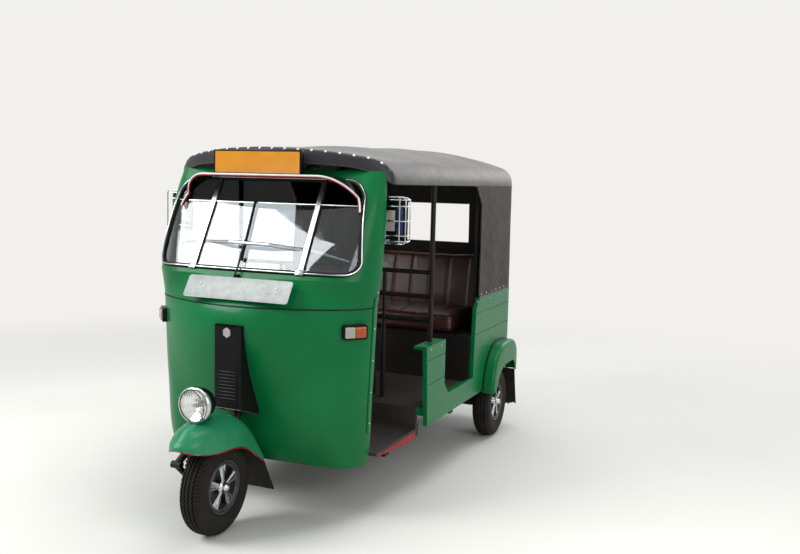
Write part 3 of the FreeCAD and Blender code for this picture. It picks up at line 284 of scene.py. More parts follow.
# The same enamel on the front mudguard: sun bleached, chalky and scuffed by road grit.
GUARD_ENAMEL = Finish("weathered_green_enamel", "#00774A", "#12805A", 0.34, tone_mm=90.0, specular=0.2,
                      coat=0.1,
                      grain=Grain.ORANGE_PEEL, grain_mm=7.0, depth_mm=0.04, dust=0.16, dust_colour="#8F9A8C",
                      worn=0.34, worn_mm=16.0, worn_colour="#5E4A38")
# Black enamel on tubes and rails: duller, chipped to rust, with mud from below.
BLACK_ENAMEL = Finish("black_frame_enamel", "#0F0F10", "#151413", 0.45, specular=0.2, grain=Grain.ORANGE_PEEL,
                      grain_mm=5.0, depth_mm=0.05, dust=0.3, dust_colour="#4A4138", worn=0.34, worn_mm=22.0)
# Gloss black enamel on the visor's pressing.
VISOR_ENAMEL = Finish("gloss_black_enamel", "#08080A", "#0C0C0E", 0.24, specular=0.3, coat=0.06,
                      grain=Grain.ORANGE_PEEL, grain_mm=8.0, depth_mm=0.03, dust=0.08, dust_colour="#56524C")
# Bright chrome on steel: a mirror with fine pitting.
CHROME = Finish("bright_chrome_plate", "#C9CCCF", "#AEB2B6", 0.10, tone_mm=60.0, spread=0.04, metallic=1.0,
                worn=0.16, worn_mm=9.0, worn_colour="#5B3A24")
# Polished stainless bead, softer than chrome.
STAINLESS = Finish("polished_stainless", "#B9BBBC", "#A5A7A9", 0.22, tone_mm=80.0, metallic=1.0)
# Polypropylene moulding: black, fine spark grain, grey where dust sits.
BLACK_MOULDING = Finish("black_polypropylene", "#060607", "#0A0A0A", 0.36, specular=0.14, grain=Grain.MOULDED,
                        grain_mm=0.9, depth_mm=0.04, dust=0.05, dust_colour="#5A5249")
# EPDM rubber for gaskets and beads: matt and slightly brown.
GASKET = Finish("epdm_gasket", "#080808", "#0C0B0B", 0.6, specular=0.2, grain=Grain.MOULDED, grain_mm=1.4,
                depth_mm=0.03)
# Vulcanised tyre rubber: matt, faintly brown with road dust.
TYRE_RUBBER = Finish("vulcanised_tyre_rubber", "#100F0E", "#161412", 0.72, tone_mm=50.0, specular=0.2,
                     grain=Grain.MOULDED, grain_mm=1.6, depth_mm=0.08, dust=0.22, dust_colour="#4A4136")
# Reinforced rubber sheet for flaps: dull, dusty, scuffed.
FLAP_RUBBER = Finish("reinforced_rubber_sheet", "#0E0D0D", "#151312", 0.7, tone_mm=45.0, specular=0.2,
                     grain=Grain.MOULDED, grain_mm=2.5, depth_mm=0.15, dust=0.3, dust_colour="#4E4438")
# Silver lacquer on the pressed wheel, greyed by brake dust.
RIM_LACQUER = Finish("silver_wheel_lacquer", "#55575A", "#434342", 0.42, tone_mm=35.0, metallic=0.5,
                     dust=0.3, dust_colour="#4A4036", worn=0.25, worn_mm=10.0)
# PVC-coated hood cloth: warm grey with a leather emboss and a soft sheen from the sky.
HOOD_VINYL = Finish("pvc_hood_cloth", "#4E4B48", "#43403E", 0.48, tone_mm=300.0, specular=0.3, sheen=0.1,
                    grain=Grain.LEATHER, grain_mm=2.6, depth_mm=0.12, dust=0.15, dust_colour="#8A857C")
# A darker, browner and duller copy of the hood cloth on the curtains: painted shade where the lower sides and
# back lie in shadow.
CURTAIN_PAINTED_SHADE_VINYL = Finish("curtain_painted_shade_vinyl", "#2E2622", "#231D1A", 0.5, tone_mm=160.0, specular=0.2,
                       grain=Grain.LEATHER, grain_mm=2.6, depth_mm=0.12, dust=0.1, dust_colour="#5E554C")
# The valance's darker cut of the same cloth.
VALANCE_VINYL = Finish("dark_valance_cloth", "#26262A", "#2E2D30", 0.44, tone_mm=120.0, specular=0.25,
                       grain=Grain.LEATHER, grain_mm=2.6, depth_mm=0.12, dust=0.1, dust_colour="#6A665F")
# Rolled binding stitched on the cloth's edges.
BINDING_VINYL = Finish("binding_vinyl", "#171718", "#1E1D1D", 0.5, grain=Grain.MOULDED, grain_mm=1.4,
                       depth_mm=0.05)
# Seat vinyl: dark red-brown, leather emboss, polished where people sit.
SEAT_VINYL = Finish("seat_vinyl", "#33140F", "#3C1A12", 0.38, tone_mm=140.0, grain=Grain.LEATHER,
                    grain_mm=2.4, depth_mm=0.16)
# Piping on the seats.
PIPING_VINYL = Finish("piping_vinyl", "#0F0F10", "#161516", 0.42, grain=Grain.LEATHER, grain_mm=1.6,
                      depth_mm=0.06)
# Ribbed rubber mat on the floor.
FLOOR_MAT = Finish("ribbed_floor_mat", "#161616", "#201D1A", 0.7, tone_mm=90.0, grain=Grain.RIBBED,
                   grain_mm=9.0, depth_mm=1.2, dust=0.4, dust_colour="#55493C")
# Yellow reflective sign face.
SIGN_YELLOW = Finish("yellow_sign_acrylic", "#D08A10", "#C67F0A", 0.35, tone_mm=120.0, specular=0.35,
                     coat=0.1,
                     dust=0.04)
# White stove enamel on the plate: chalky, rust at its chips.
PLATE_WHITE = Finish("white_plate_enamel", "#A6ACAA", "#959C9A", 0.45, tone_mm=45.0, dust=0.2,
                     worn=0.46, worn_mm=12.0, worn_colour="#6B3A20")
# Red enamel on the sill edge and rolled edges.
RED_ENAMEL = Finish("red_edge_enamel", "#A00808", "#880707", 0.35, tone_mm=40.0, specular=0.15, dust=0.06,
                    worn=0.3,
                    worn_mm=12.0)
# Dark red rubber seal round the headlamp's glass.
SEAL_RED = Finish("dark_red_seal", "#4E0F0C", "#3C0D0B", 0.5, tone_mm=40.0)
# White enamel on the visor's rim and the press studs.
WHITE_ENAMEL = Finish("white_rim_enamel", "#DDE1E2", "#CBD0D2", 0.35, tone_mm=50.0, worn=0.2, worn_mm=8.0)
# Engine casting: dull aluminium with oily dirt.
CAST_ALLOY = Finish("oily_cast_aluminium", "#5C5C5A", "#3B3834", 0.55, tone_mm=45.0, metallic=0.7,
                    grain=Grain.CAST, grain_mm=3.0, depth_mm=0.3, dust=0.4, dust_colour="#3A3128")
# Aluminised exhaust steel, browned and rusting.
EXHAUST_STEEL = Finish("rusted_exhaust_steel", "#6A5A4C", "#4B3326", 0.7, tone_mm=30.0, metallic=0.5,
                       grain=Grain.CAST, grain_mm=2.0, depth_mm=0.2, dust=0.4, dust_colour="#4A3D30",
                       worn=0.6, worn_mm=16.0)
# Vacuum-coated lamp reflector.
REFLECTOR = Finish("aluminised_reflector", "#F2F2EE", "#E9E9E4", 0.05, spread=0.02, metallic=1.0)
# Dark blue plastic on the mirror's back.
NAVY_PLASTIC = Finish("navy_mirror_back", "#1B2B6B", "#152250", 0.3, grain=Grain.MOULDED, grain_mm=1.0)
# Anodised panel on the mirror's back: pale warm grey.
BRONZE_PANEL = Finish("anodised_mirror_panel", "#B8B2A6", "#A39C90", 0.4, tone_mm=40.0, metallic=0.2)
# Silvered mirror.
MIRROR_SILVER = Finish("silvered_mirror", "#E6E9EA", "#E0E4E6", 0.04, spread=0.01, metallic=1.0)
# Pale green enamel as a painted highlight along the mudguard's crown, with rust chips where grit wore it.
CROWN_HIGHLIGHT_AND_RUST = Finish("painted_highlight_rusty_enamel", "#2E8F68", "#5A9C80", 0.5, tone_mm=22.0, specular=0.2,
                        worn=0.62, worn_mm=9.0, worn_colour="#6B4430")
# Dark grey paint on the louvres' edges, rubbed pale.
LOUVRE_GREY = Finish("rubbed_louvre_edge", "#4C4B4A", "#3A3938", 0.4, tone_mm=14.0, metallic=0.3)
# Toughened windscreen glass with a grey-blue tint.
SCREEN_GLASS = Clear("toughened_glass", "#C2CED6", 0.015)
# Fluted headlamp glass.
LAMP_GLASS = Clear("fluted_lamp_glass", "#F6F8F8", 0.03, flute_mm=9.0, flute_depth_mm=0.8)
# Smoked film stuck inside the glass's top, nearly without a step in IOR.
SHADE_FILM = Clear("tinted_shade_film", "#3A3634", 0.05, 1.08)
# Amber, clear and red lenses of moulded acrylic, fluted inside.
AMBER_LENS = Clear("amber_acrylic", "#F0660A", 0.12, 1.49, 0.55, flute_mm=5.0)
WHITE_LENS = Clear("clear_acrylic", "#E6E0D2", 0.16, 1.49, 0.55, flute_mm=5.0)
RED_LENS = Clear("red_acrylic", "#B80F0C", 0.12, 1.49, 0.5, flute_mm=6.0)

SLOT_FINISH = {
    "body_green": GREEN_ENAMEL, "clear_glass": SCREEN_GLASS, "bright_trim": CHROME,
    "black_moulding": BLACK_MOULDING, "sign_yellow": SIGN_YELLOW, "plate_white": PLATE_WHITE,
    "roof_vinyl": HOOD_VINYL, "seat_vinyl": SEAT_VINYL, "frame_black": BLACK_ENAMEL,
    "flap_rubber": FLAP_RUBBER, "tyre_rubber": TYRE_RUBBER, "rim_steel": RIM_LACQUER,
    "lamp_amber": BLACK_MOULDING, "lamp_red": RED_LENS, "engine_cast": CAST_ALLOY,
    "exhaust_steel": EXHAUST_STEEL, "spring_black": BLACK_ENAMEL, "edge_red": RED_ENAMEL,
}


def absorb(bm: BMesh, part: BMesh) -> None:
    """Add a finished small mesh to a larger one, and free it.

    Args:
        bm: The mesh that grows.
        part: The mesh that is added.
    """
    carrier = bpy.data.meshes.new("carrier")
    part.to_mesh(carrier)
    part.free()
    bm.from_mesh(carrier)
    bpy.data.meshes.remove(carrier)


def tidy(bm: BMesh, reach: float = 1e-6) -> BMesh:
    """Merge doubles and turn every face outwards.

    Args:
        bm: The mesh.
        reach: How near two vertices are to be merged.

    Returns:
        The same mesh.
    """
    bmesh.ops.remove_doubles(bm, verts=bm.verts, dist=reach)
    bmesh.ops.recalc_face_normals(bm, faces=bm.faces)
    return bm


def thickened(bm: BMesh, wall: float) -> BMesh:
    """Give a sheet its thickness, with its faces turned outwards."""
    bmesh.ops.recalc_face_normals(bm, faces=bm.faces)
    bmesh.ops.solidify(bm, geom=bm.faces[:], thickness=wall)
    bmesh.ops.recalc_face_normals(bm, faces=bm.faces)
    return bm


def flipped(bm: BMesh) -> BMesh:
    """Mirror a mesh to the vehicle's other side."""
    bmesh.ops.scale(bm, vec=(-1.0, 1.0, 1.0), verts=bm.verts)
    bmesh.ops.recalc_face_normals(bm, faces=bm.faces)
    return bm


def paired(bm: BMesh) -> BMesh:
    """Add a left piece's mirror image for the right."""
    absorb(bm, flipped(bm.copy()))
    return bm


def skinned(rows: Iterable[Sequence[Sequence[float]]], closed: bool = True) -> BMesh:
    """Bridge sections of equal length into one skin.

    Args:
        rows: The sections, each a row of points.
        closed: Whether each section closes on itself, and both ends are filled.

    Returns:
        The skin, before its doubles are merged.
    """
    bm = bmesh.new()
    rings = []
    for row in rows:
        verts = [bm.verts.new(p) for p in row]
        rings.append([bm.edges.new(two) for two in zip(verts, verts[1:] + verts[:1] * closed)])
    for first, second in zip(rings, rings[1:]):
        bmesh.ops.bridge_loops(bm, edges=first + second)
    if closed:
        bmesh.ops.edgeloop_fill(bm, edges=rings[0])
        bmesh.ops.edgeloop_fill(bm, edges=rings[-1])
    return bm


def slab(points: Iterable[Sequence[float]], by: Sequence[float]) -> BMesh:
    """Cut a flat slab.

    Args:
        points: The points round it.
        by: Its thickness, as a vector.

    Returns:
        The slab.
    """
    bm = bmesh.new()
    verts = [bm.verts.new(p) for p in points]
    bmesh.ops.edgeloop_fill(bm, edges=[bm.edges.new(two) for two in zip(verts, verts[1:] + verts[:1])])
    made = bmesh.ops.extrude_face_region(bm, geom=bm.faces[:])["geom"]
    bmesh.ops.translate(bm, vec=by, verts=[g for g in made if isinstance(g, BMVert)])
    return tidy(bm)


def sliced(bm: BMesh, place: Sequence[float], way: Sequence[float], reach: float = 0.0) -> None:
    """Cut every face where a plane crosses it, and keep both halves."""
    bmesh.ops.bisect_plane(bm, geom=bm.verts[:] + bm.edges[:] + bm.faces[:], dist=reach, plane_co=place,
                           plane_no=way)


def both_halves(left: Sequence[Vector]) -> list[Vector]:
    """Mirror a row that starts on the middle line, and join the two."""
    return [Vector((-p.x, p.y, p.z)) for p in reversed(left[1:])] + list(left)


def between(rows: Sequence[Sequence[float]], at: float) -> list[float]:
    """Read a table at a place between its rows.

    Args:
        rows: Its rows, in order of their first column.
        at: The place in the first column.

    Returns:
        The other columns there.
    """
    for first, second in zip(rows, rows[1:]):
        if at <= second[0]:
            share = (at - first[0]) / (second[0] - first[0])
            return [a + share * (b - a) for a, b in zip(first[1:], second[1:])]
    return list(rows[-1][1:])


def seek(outside: Callable[[float], bool], low: float, high: float) -> float:
    """Halve an interval down to the last place that isn't outside."""
    for _ in range(SEEK_STEPS):
        middle = (low + high) / 2.0
        if outside(middle):
            high = middle
        else:
            low = middle
    return low


def cross_frame(side: Vector, up: Vector, along: Vector, here: Vector) -> Matrix:
    """Make the matrix of a cross section from its three directions and its place."""
    frame_here = Matrix((side, up, along)).transposed().to_4x4()
    frame_here.translation = here
    return frame_here


def circle(radius: float, sides: int = 12) -> list[tuple[float, float]]:
    """List the corners of a round outline."""
    return [(radius * math.cos(TURN * i / sides), radius * math.sin(TURN * i / sides)) for i in range(sides)]


def oblong(width: float, height: float, corner: float, steps: int = 3) -> list[tuple[float, float]]:
    """List the corners of a rounded rectangle.

    Args:
        width: Its full width.
        height: Its full height.
        corner: Its corner radius.
        steps: Segments in a corner.

    Returns:
        Its points, anticlockwise.
    """
    a, b = width / 2.0 - corner, height / 2.0 - corner
    points = []
    for quarter, (cx, cy) in enumerate(((a, b), (-a, b), (-a, -b), (a, -b))):
        for step in range(steps + 1):
            angle = TURN * (quarter + step / steps) / 4.0
            points.append((cx + corner * math.cos(angle), cy + corner * math.sin(angle)))
    return points


def rounded_path(corners: Sequence[Sequence[float]], radius: float, closed: bool = False,
                 steps: int = 5) -> list[Vector]:
    """Round the corners of a path by arcs.

    Args:
        corners: The path's corners.
        radius: The arcs' radius, less where a run is short.
        closed: Whether the path joins up.
        steps: Segments in an arc.

    Returns:
        The path's points.
    """
    points = [Vector(c) for c in corners]
    count = len(points)
    path = []
    for i, here in enumerate(points):
        if not closed and i in (0, count - 1):
            path.append(here)
            continue
        back, ahead = points[i - 1] - here, points[(i + 1) % count] - here
        half = back.angle(ahead) / 2.0
        run = min(radius / max(math.tan(half), 1e-6), 0.45 * back.length, 0.45 * ahead.length)
        start, end = here + back.normalized() * run, here + ahead.normalized() * run
        for step in range(steps + 1):
            t = step / steps
            path.append(start * (1 - t) ** 2 + here * 2 * t * (1 - t) + end * t ** 2)
    return path


def path_frames(points: Sequence[Vector], closed: bool = False,
                side: Vector | None = None) -> list[Matrix]:
    """Carry an untwisted cross frame along a path.

    Args:
        points: The path.
        closed: Whether it joins up.
        side: The first frame's sideways direction.

    Returns:
        One matrix a point, whose X and Y lie across the path and Z along it.
    """
    frames = []
    count = len(points)
    for i, here in enumerate(points):
        before = points[i - 1] if closed or i else here
        after = points[(i + 1) % count] if closed or i < count - 1 else here
        along = (after - before).normalized()
        side = along.orthogonal() if side is None else side
        side = (side - along * side.dot(along)).normalized()
        frames.append(cross_frame(side, along.cross(side), along, here))
    return frames


def sweep(frames: Sequence[Matrix], outline: Sequence[tuple[float, float]], closed: bool = False,
          taper: Callable[[float], float] | None = None) -> BMesh:
    """Run an outline along a path.

    Args:
        frames: The path's frames.
        outline: The cross section's corners.
        closed: Whether the path joins up.
        taper: The outline's scale against the share of the path, if it changes.

    Returns:
        The swept mesh, closed at its ends.
    """
    bm = bmesh.new()
    scale = taper or (lambda share: 1.0)
    first = [bm.verts.new(frames[0] @ Vector((a * scale(0.0), b * scale(0.0), 0.0))) for a, b in outline]
    loop = [bm.edges.new((p, q)) for p, q in zip(first, first[1:] + first[:1])]
    start = list(loop)
    last = frames[0] @ Matrix.Scale(scale(0.0), 4)
    for i, here in enumerate(frames[1:], 1):
        here = here @ Matrix.Scale(scale(i / (len(frames) - 1)), 4)
        made = bmesh.ops.extrude_edge_only(bm, edges=loop)["geom"]
        loop = [g for g in made if isinstance(g, bmesh.types.BMEdge)]
        verts = [g for g in made if isinstance(g, BMVert)]
        bmesh.ops.transform(bm, matrix=here @ last.inverted(), verts=verts)
        last = here
    if closed:
        bmesh.ops.bridge_loops(bm, edges=start + loop)
    else:
        bmesh.ops.edgeloop_fill(bm, edges=start)
        bmesh.ops.edgeloop_fill(bm, edges=loop)
    return tidy(bm)


def tube(points: Sequence[Vector], radius: float, closed: bool = False, sides: int = 12) -> BMesh:
    """Make a round bar along a path.

    Args:
        points: The path.
        radius: The bar's radius.
        closed: Whether the path joins up.
        sides: Sides of its section.

    Returns:
        The bar.
    """
    return sweep(path_frames([Vector(p) for p in points], closed), circle(radius, sides), closed)


def thinned(points: Sequence[Vector], gap: float) -> list[Vector]:
    """Drop the points of a path that lie nearer than a gap to the one before.

    Args:
        points: The path.
        gap: The least distance between neighbours.

    Returns:
        The thinner path.
    """
    path = [points[0]]
    for p in points[1:]:
        if (p - path[-1]).length > gap:
            path.append(p)
    return path


def lathe(outline: Sequence[tuple[float, float]], centre: Sequence[float], axis: Sequence[float],
          steps: int = 64) -> BMesh:
    """Turn an outline about an axis.

    Args:
        outline: Points as a distance along the axis and a radius.
        centre: A point on the axis.
        axis: The axis direction.
        steps: Segments round it.

    Returns:
        The turned mesh.
    """
    bm = bmesh.new()
    middle, along = Vector(centre), Vector(axis).normalized()
    out = along.orthogonal().normalized()
    verts = [bm.verts.new(middle + along * a + out * r) for a, r in outline]
    edges = [bm.edges.new(two) for two in zip(verts, verts[1:])]
    bmesh.ops.spin(bm, geom=verts + edges, cent=middle, axis=along, angle=TURN, steps=steps, use_merge=True)
    return tidy(bm)


def block(low: Sequence[float], high: Sequence[float], edge: float = 0.0, segments: int = 2) -> BMesh:
    """Make a box with rounded edges.

    Args:
        low: Its lowest corner.
        high: Its highest corner.
        edge: The radius of its edges.
        segments: Segments in an edge.

    Returns:
        The box.
    """
    bm = bmesh.new()
    low, high = Vector(low), Vector(high)
    bmesh.ops.create_cube(bm, size=1.0)
    size = high - low
    bmesh.ops.scale(bm, vec=size, verts=bm.verts)
    bmesh.ops.translate(bm, vec=(low + high) / 2.0, verts=bm.verts)
    if edge:
        bmesh.ops.bevel(bm, geom=bm.edges[:], offset=edge, offset_type="OFFSET", segments=segments,
                        affect="EDGES", profile=0.5, material=-1)
    return bm


def dome(place: Vector, facing: Vector, radius: float, height: float, rings: int = 4,
         sides: int = 10) -> BMesh:
    """Make a small stud or rivet head.

    Args:
        place: The middle of its foot.
        facing: The way it points.
        radius: Its radius.
        height: Its height.
        rings: Rings up the head.
        sides: Sides round it.

    Returns:
        The head.
    """
    outline = [(-0.3 * height, radius * 0.98)]
    for i in range(rings + 1):
        angle = TURN * i / rings / 4.0
        outline.append((height * math.sin(angle), max(radius * math.cos(angle), 0.0)))
    return lathe(outline, place, facing, sides)


def put(name: str, data: bpy.types.ID) -> bpy.types.Object:
    """Stand an object in the scene."""
    made = bpy.data.objects.new(name, data)
    bpy.context.scene.collection.objects.link(made)
    return made


def meshed(name: str, bm: BMesh) -> bpy.types.Mesh:
    """Turn a bmesh into a mesh, and free it."""
    mesh = bpy.data.meshes.new(name)
    bm.to_mesh(mesh)
    bm.free()
    return mesh


def finished(name: str, bm: BMesh, finish: Finish | Clear | Sequence, body: str,
             replaces: Iterable[str] = (), sharp: float = 38.0, smooth: bool = True) -> bpy.types.Object:
    """Turn a mesh into a finished piece that rides on a body.

    Args:
        name: The piece's name.
        bm: Its mesh, which is freed.
        finish: Its finish, or several by material number.
        body: The body it rides on.
        replaces: The CAD nodes it stands for.
        sharp: The angle, in degrees, over which an edge stays sharp.
        smooth: Whether its faces are shaded smooth.

    Returns:
        The piece.
    """
    mesh = meshed(name, bm)
    for one in (finish if isinstance(finish, (list, tuple)) else [finish]):
        mesh.materials.append(one.material())
    mesh.polygons.foreach_set("use_smooth", [smooth] * len(mesh.polygons))
    if smooth:
        mesh.set_sharp_from_angle(angle=math.radians(sharp))
    piece = put(name, mesh)
    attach(piece, body)
    if replaces:
        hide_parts(*replaces)
    return piece


class Skin:
    """The outer surface of CAD nodes, met by rays."""

    def __init__(self, *names: str) -> None:
        """Join the nodes' meshes in one tree.

        Args:
            names: The CAD nodes.
        """
        bm = bmesh.new()
        for name in names:
            bm.from_mesh(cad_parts[name].data)
        self.tree = BVHTree.FromBMesh(bm)
        bm.free()

    def meet(self, start: Sequence[float], way: Sequence[float], lift: float = 0.0) -> tuple[Vector, Vector]:
        """Find where a ray meets the surface.

        Args:
            start: Where the ray starts.
            way: Its direction.
            lift: How far off the surface the point is moved.

        Returns:
            The point and the surface's normal there.
        """
        point, normal, _, _ = self.tree.ray_cast(Vector(start), Vector(way).normalized())
        if point is None:
            raise ValueError(f"no surface along {way} from {start}")
        if normal.dot(Vector(way)) > 0:
            normal = -normal
        return point + normal * lift, normal

    def front(self, x: float, z: float, lift: float = 0.0) -> tuple[Vector, Vector]:
        """Find the surface seen from the front at x and z."""
        return self.meet((x, -3.0, z), (0.0, 1.0, 0.0), lift)


@dataclass
class Studio:
    """The pale floor, the soft lamps and the camera at the photograph's angle."""

    place: tuple[float, float, float] = (2.126, -4.131, 1.497)
    yaw: float = math.radians(22.98)
    pitch: float = math.radians(6.06)
    roll: float = math.radians(1.43)
    lens_mm: float = 40.41
    floor_half: float = 60.0
    backdrop: str = "#F1F0ED"

    def background_rays(self, tree: bpy.types.NodeTree) -> bpy.types.NodeSocket:
        """Tell the rays that should meet the plain background.

        Args:
            tree: The node tree.

        Returns:
            One for camera, glossy and transmission rays.
        """
        path = add_node(tree, "LightPath")
        seen = add_node(tree, "Math", {0: path.outputs["Is Camera Ray"], 1: path.outputs["Is Glossy Ray"]},
                        operation="MAXIMUM")
        return add_node(tree, "Math", {0: seen.outputs[0], 1: path.outputs["Is Transmission Ray"]},
                        operation="MAXIMUM").outputs[0]

    def camera(self) -> None:
        """Stand the camera where the photograph was taken."""
        ahead = Vector((-math.sin(self.yaw) * math.cos(self.pitch),
                        math.cos(self.yaw) * math.cos(self.pitch), -math.sin(self.pitch)))
        right = Vector((math.cos(self.yaw), math.sin(self.yaw), 0.0))
        up = right.cross(ahead)
        c, s = math.cos(self.roll), math.sin(self.roll)
        right, up = right * c + up * s, up * c - right * s
        data = bpy.data.cameras.new("camera")
        data.lens = self.lens_mm
        data.sensor_width = 36.0
        data.clip_end = 200.0
        camera = put("camera", data)
        camera.matrix_world = cross_frame(right, up, -ahead, Vector(self.place))
        bpy.context.scene.camera = camera

    def floor(self) -> None:
        """Lay the pale floor."""
        bm = bmesh.new()
        bmesh.ops.create_grid(bm, x_segments=1, y_segments=1, size=self.floor_half)
        mesh = meshed("floor", bm)
        material, tree = bare_material("pale_studio_floor")
        place = add_node(tree, "TexCoord").outputs["Object"]
        cloud = add_node(tree, "TexNoise", {"Vector": place, "Scale": per_mm(900.0), "Detail": 3.0})
        colour = blend(tree, cloud.outputs["Fac"], linear("#E4E3DF"), linear("#DCDBD6"))
        near = add_node(tree, "BsdfDiffuse", {"Color": colour})
        far = add_node(tree, "Emission", {"Color": linear(self.backdrop)})
        seen = self.background_rays(tree)
        reach = add_node(tree, "VectorMath", {0: place}, operation="LENGTH").outputs["Value"]
        fade = add_node(tree, "MapRange", {0: reach, 1: 1.9, 2: 6.0}, interpolation_type="SMOOTHSTEP")
        share = add_node(tree, "Math", {0: fade.outputs[0], 1: seen}, operation="MULTIPLY")
        mixed = add_node(tree, "MixShader", {0: share.outputs[0], 1: near.outputs[0], 2: far.outputs[0]})
        add_node(tree, "OutputMaterial", {"Surface": mixed.outputs[0]})
        mesh.materials.append(material)
        put("floor", mesh)

    def world(self) -> None:
        """Give even light from all round, and a pale background behind the object."""
        world = bpy.data.worlds.new("studio_world")
        world.use_nodes = True
        tree = world.node_tree
        tree.nodes.clear()
        lighting = add_node(tree, "Background", {"Color": linear("#F4F6F8"), "Strength": 0.48})
        backdrop = add_node(tree, "Background", {"Color": linear(self.backdrop), "Strength": 1.0})
        mixed = add_node(tree, "MixShader", {0: self.background_rays(tree), 1: lighting.outputs[0],
                                             2: backdrop.outputs[0]})
        add_node(tree, "OutputWorld", {"Surface": mixed.outputs[0]})
        bpy.context.scene.world = world

    def lamps(self) -> None:
        """Hang four large soft lamps."""
        plan = (("key", (-3.6, -4.2, 4.4), 3.2, 320.0), ("fill", (4.6, -2.6, 2.6), 2.6, 80.0),
                ("top", (0.4, 0.8, 4.8), 3.6, 140.0), ("rear", (1.8, 5.2, 3.4), 2.6, 70.0))
        for name, place, size, watts in plan:
            data = bpy.data.lights.new(name, "AREA")
            data.shape = "SQUARE"
            data.size = size
            data.energy = watts
            lamp = put(name, data)
            aim = Vector((0.0, -0.1, 0.8)) - Vector(place)
            lamp.matrix_world = Matrix.Translation(place) @ aim.to_track_quat("-Z", "Y").to_matrix().to_4x4()

    def build(self) -> None:
        """Set up the whole studio."""
        self.camera()
        self.floor()
        self.world()
        self.lamps()
        bpy.context.scene.view_settings.view_transform = "Standard"


def dress_frame() -> None:
    """Give every CAD node the finish of its material slot."""
    special = {"floor_pan": FLOOR_MAT, "front_mudguard": GUARD_ENAMEL,
               "dashboard": BLACK_MOULDING}
    for name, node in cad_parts.items():
        for place in node.material_slots:
            finish = special.get(name, SLOT_FINISH[place.material.name.split(".")[0]])
            place.material = finish.material()


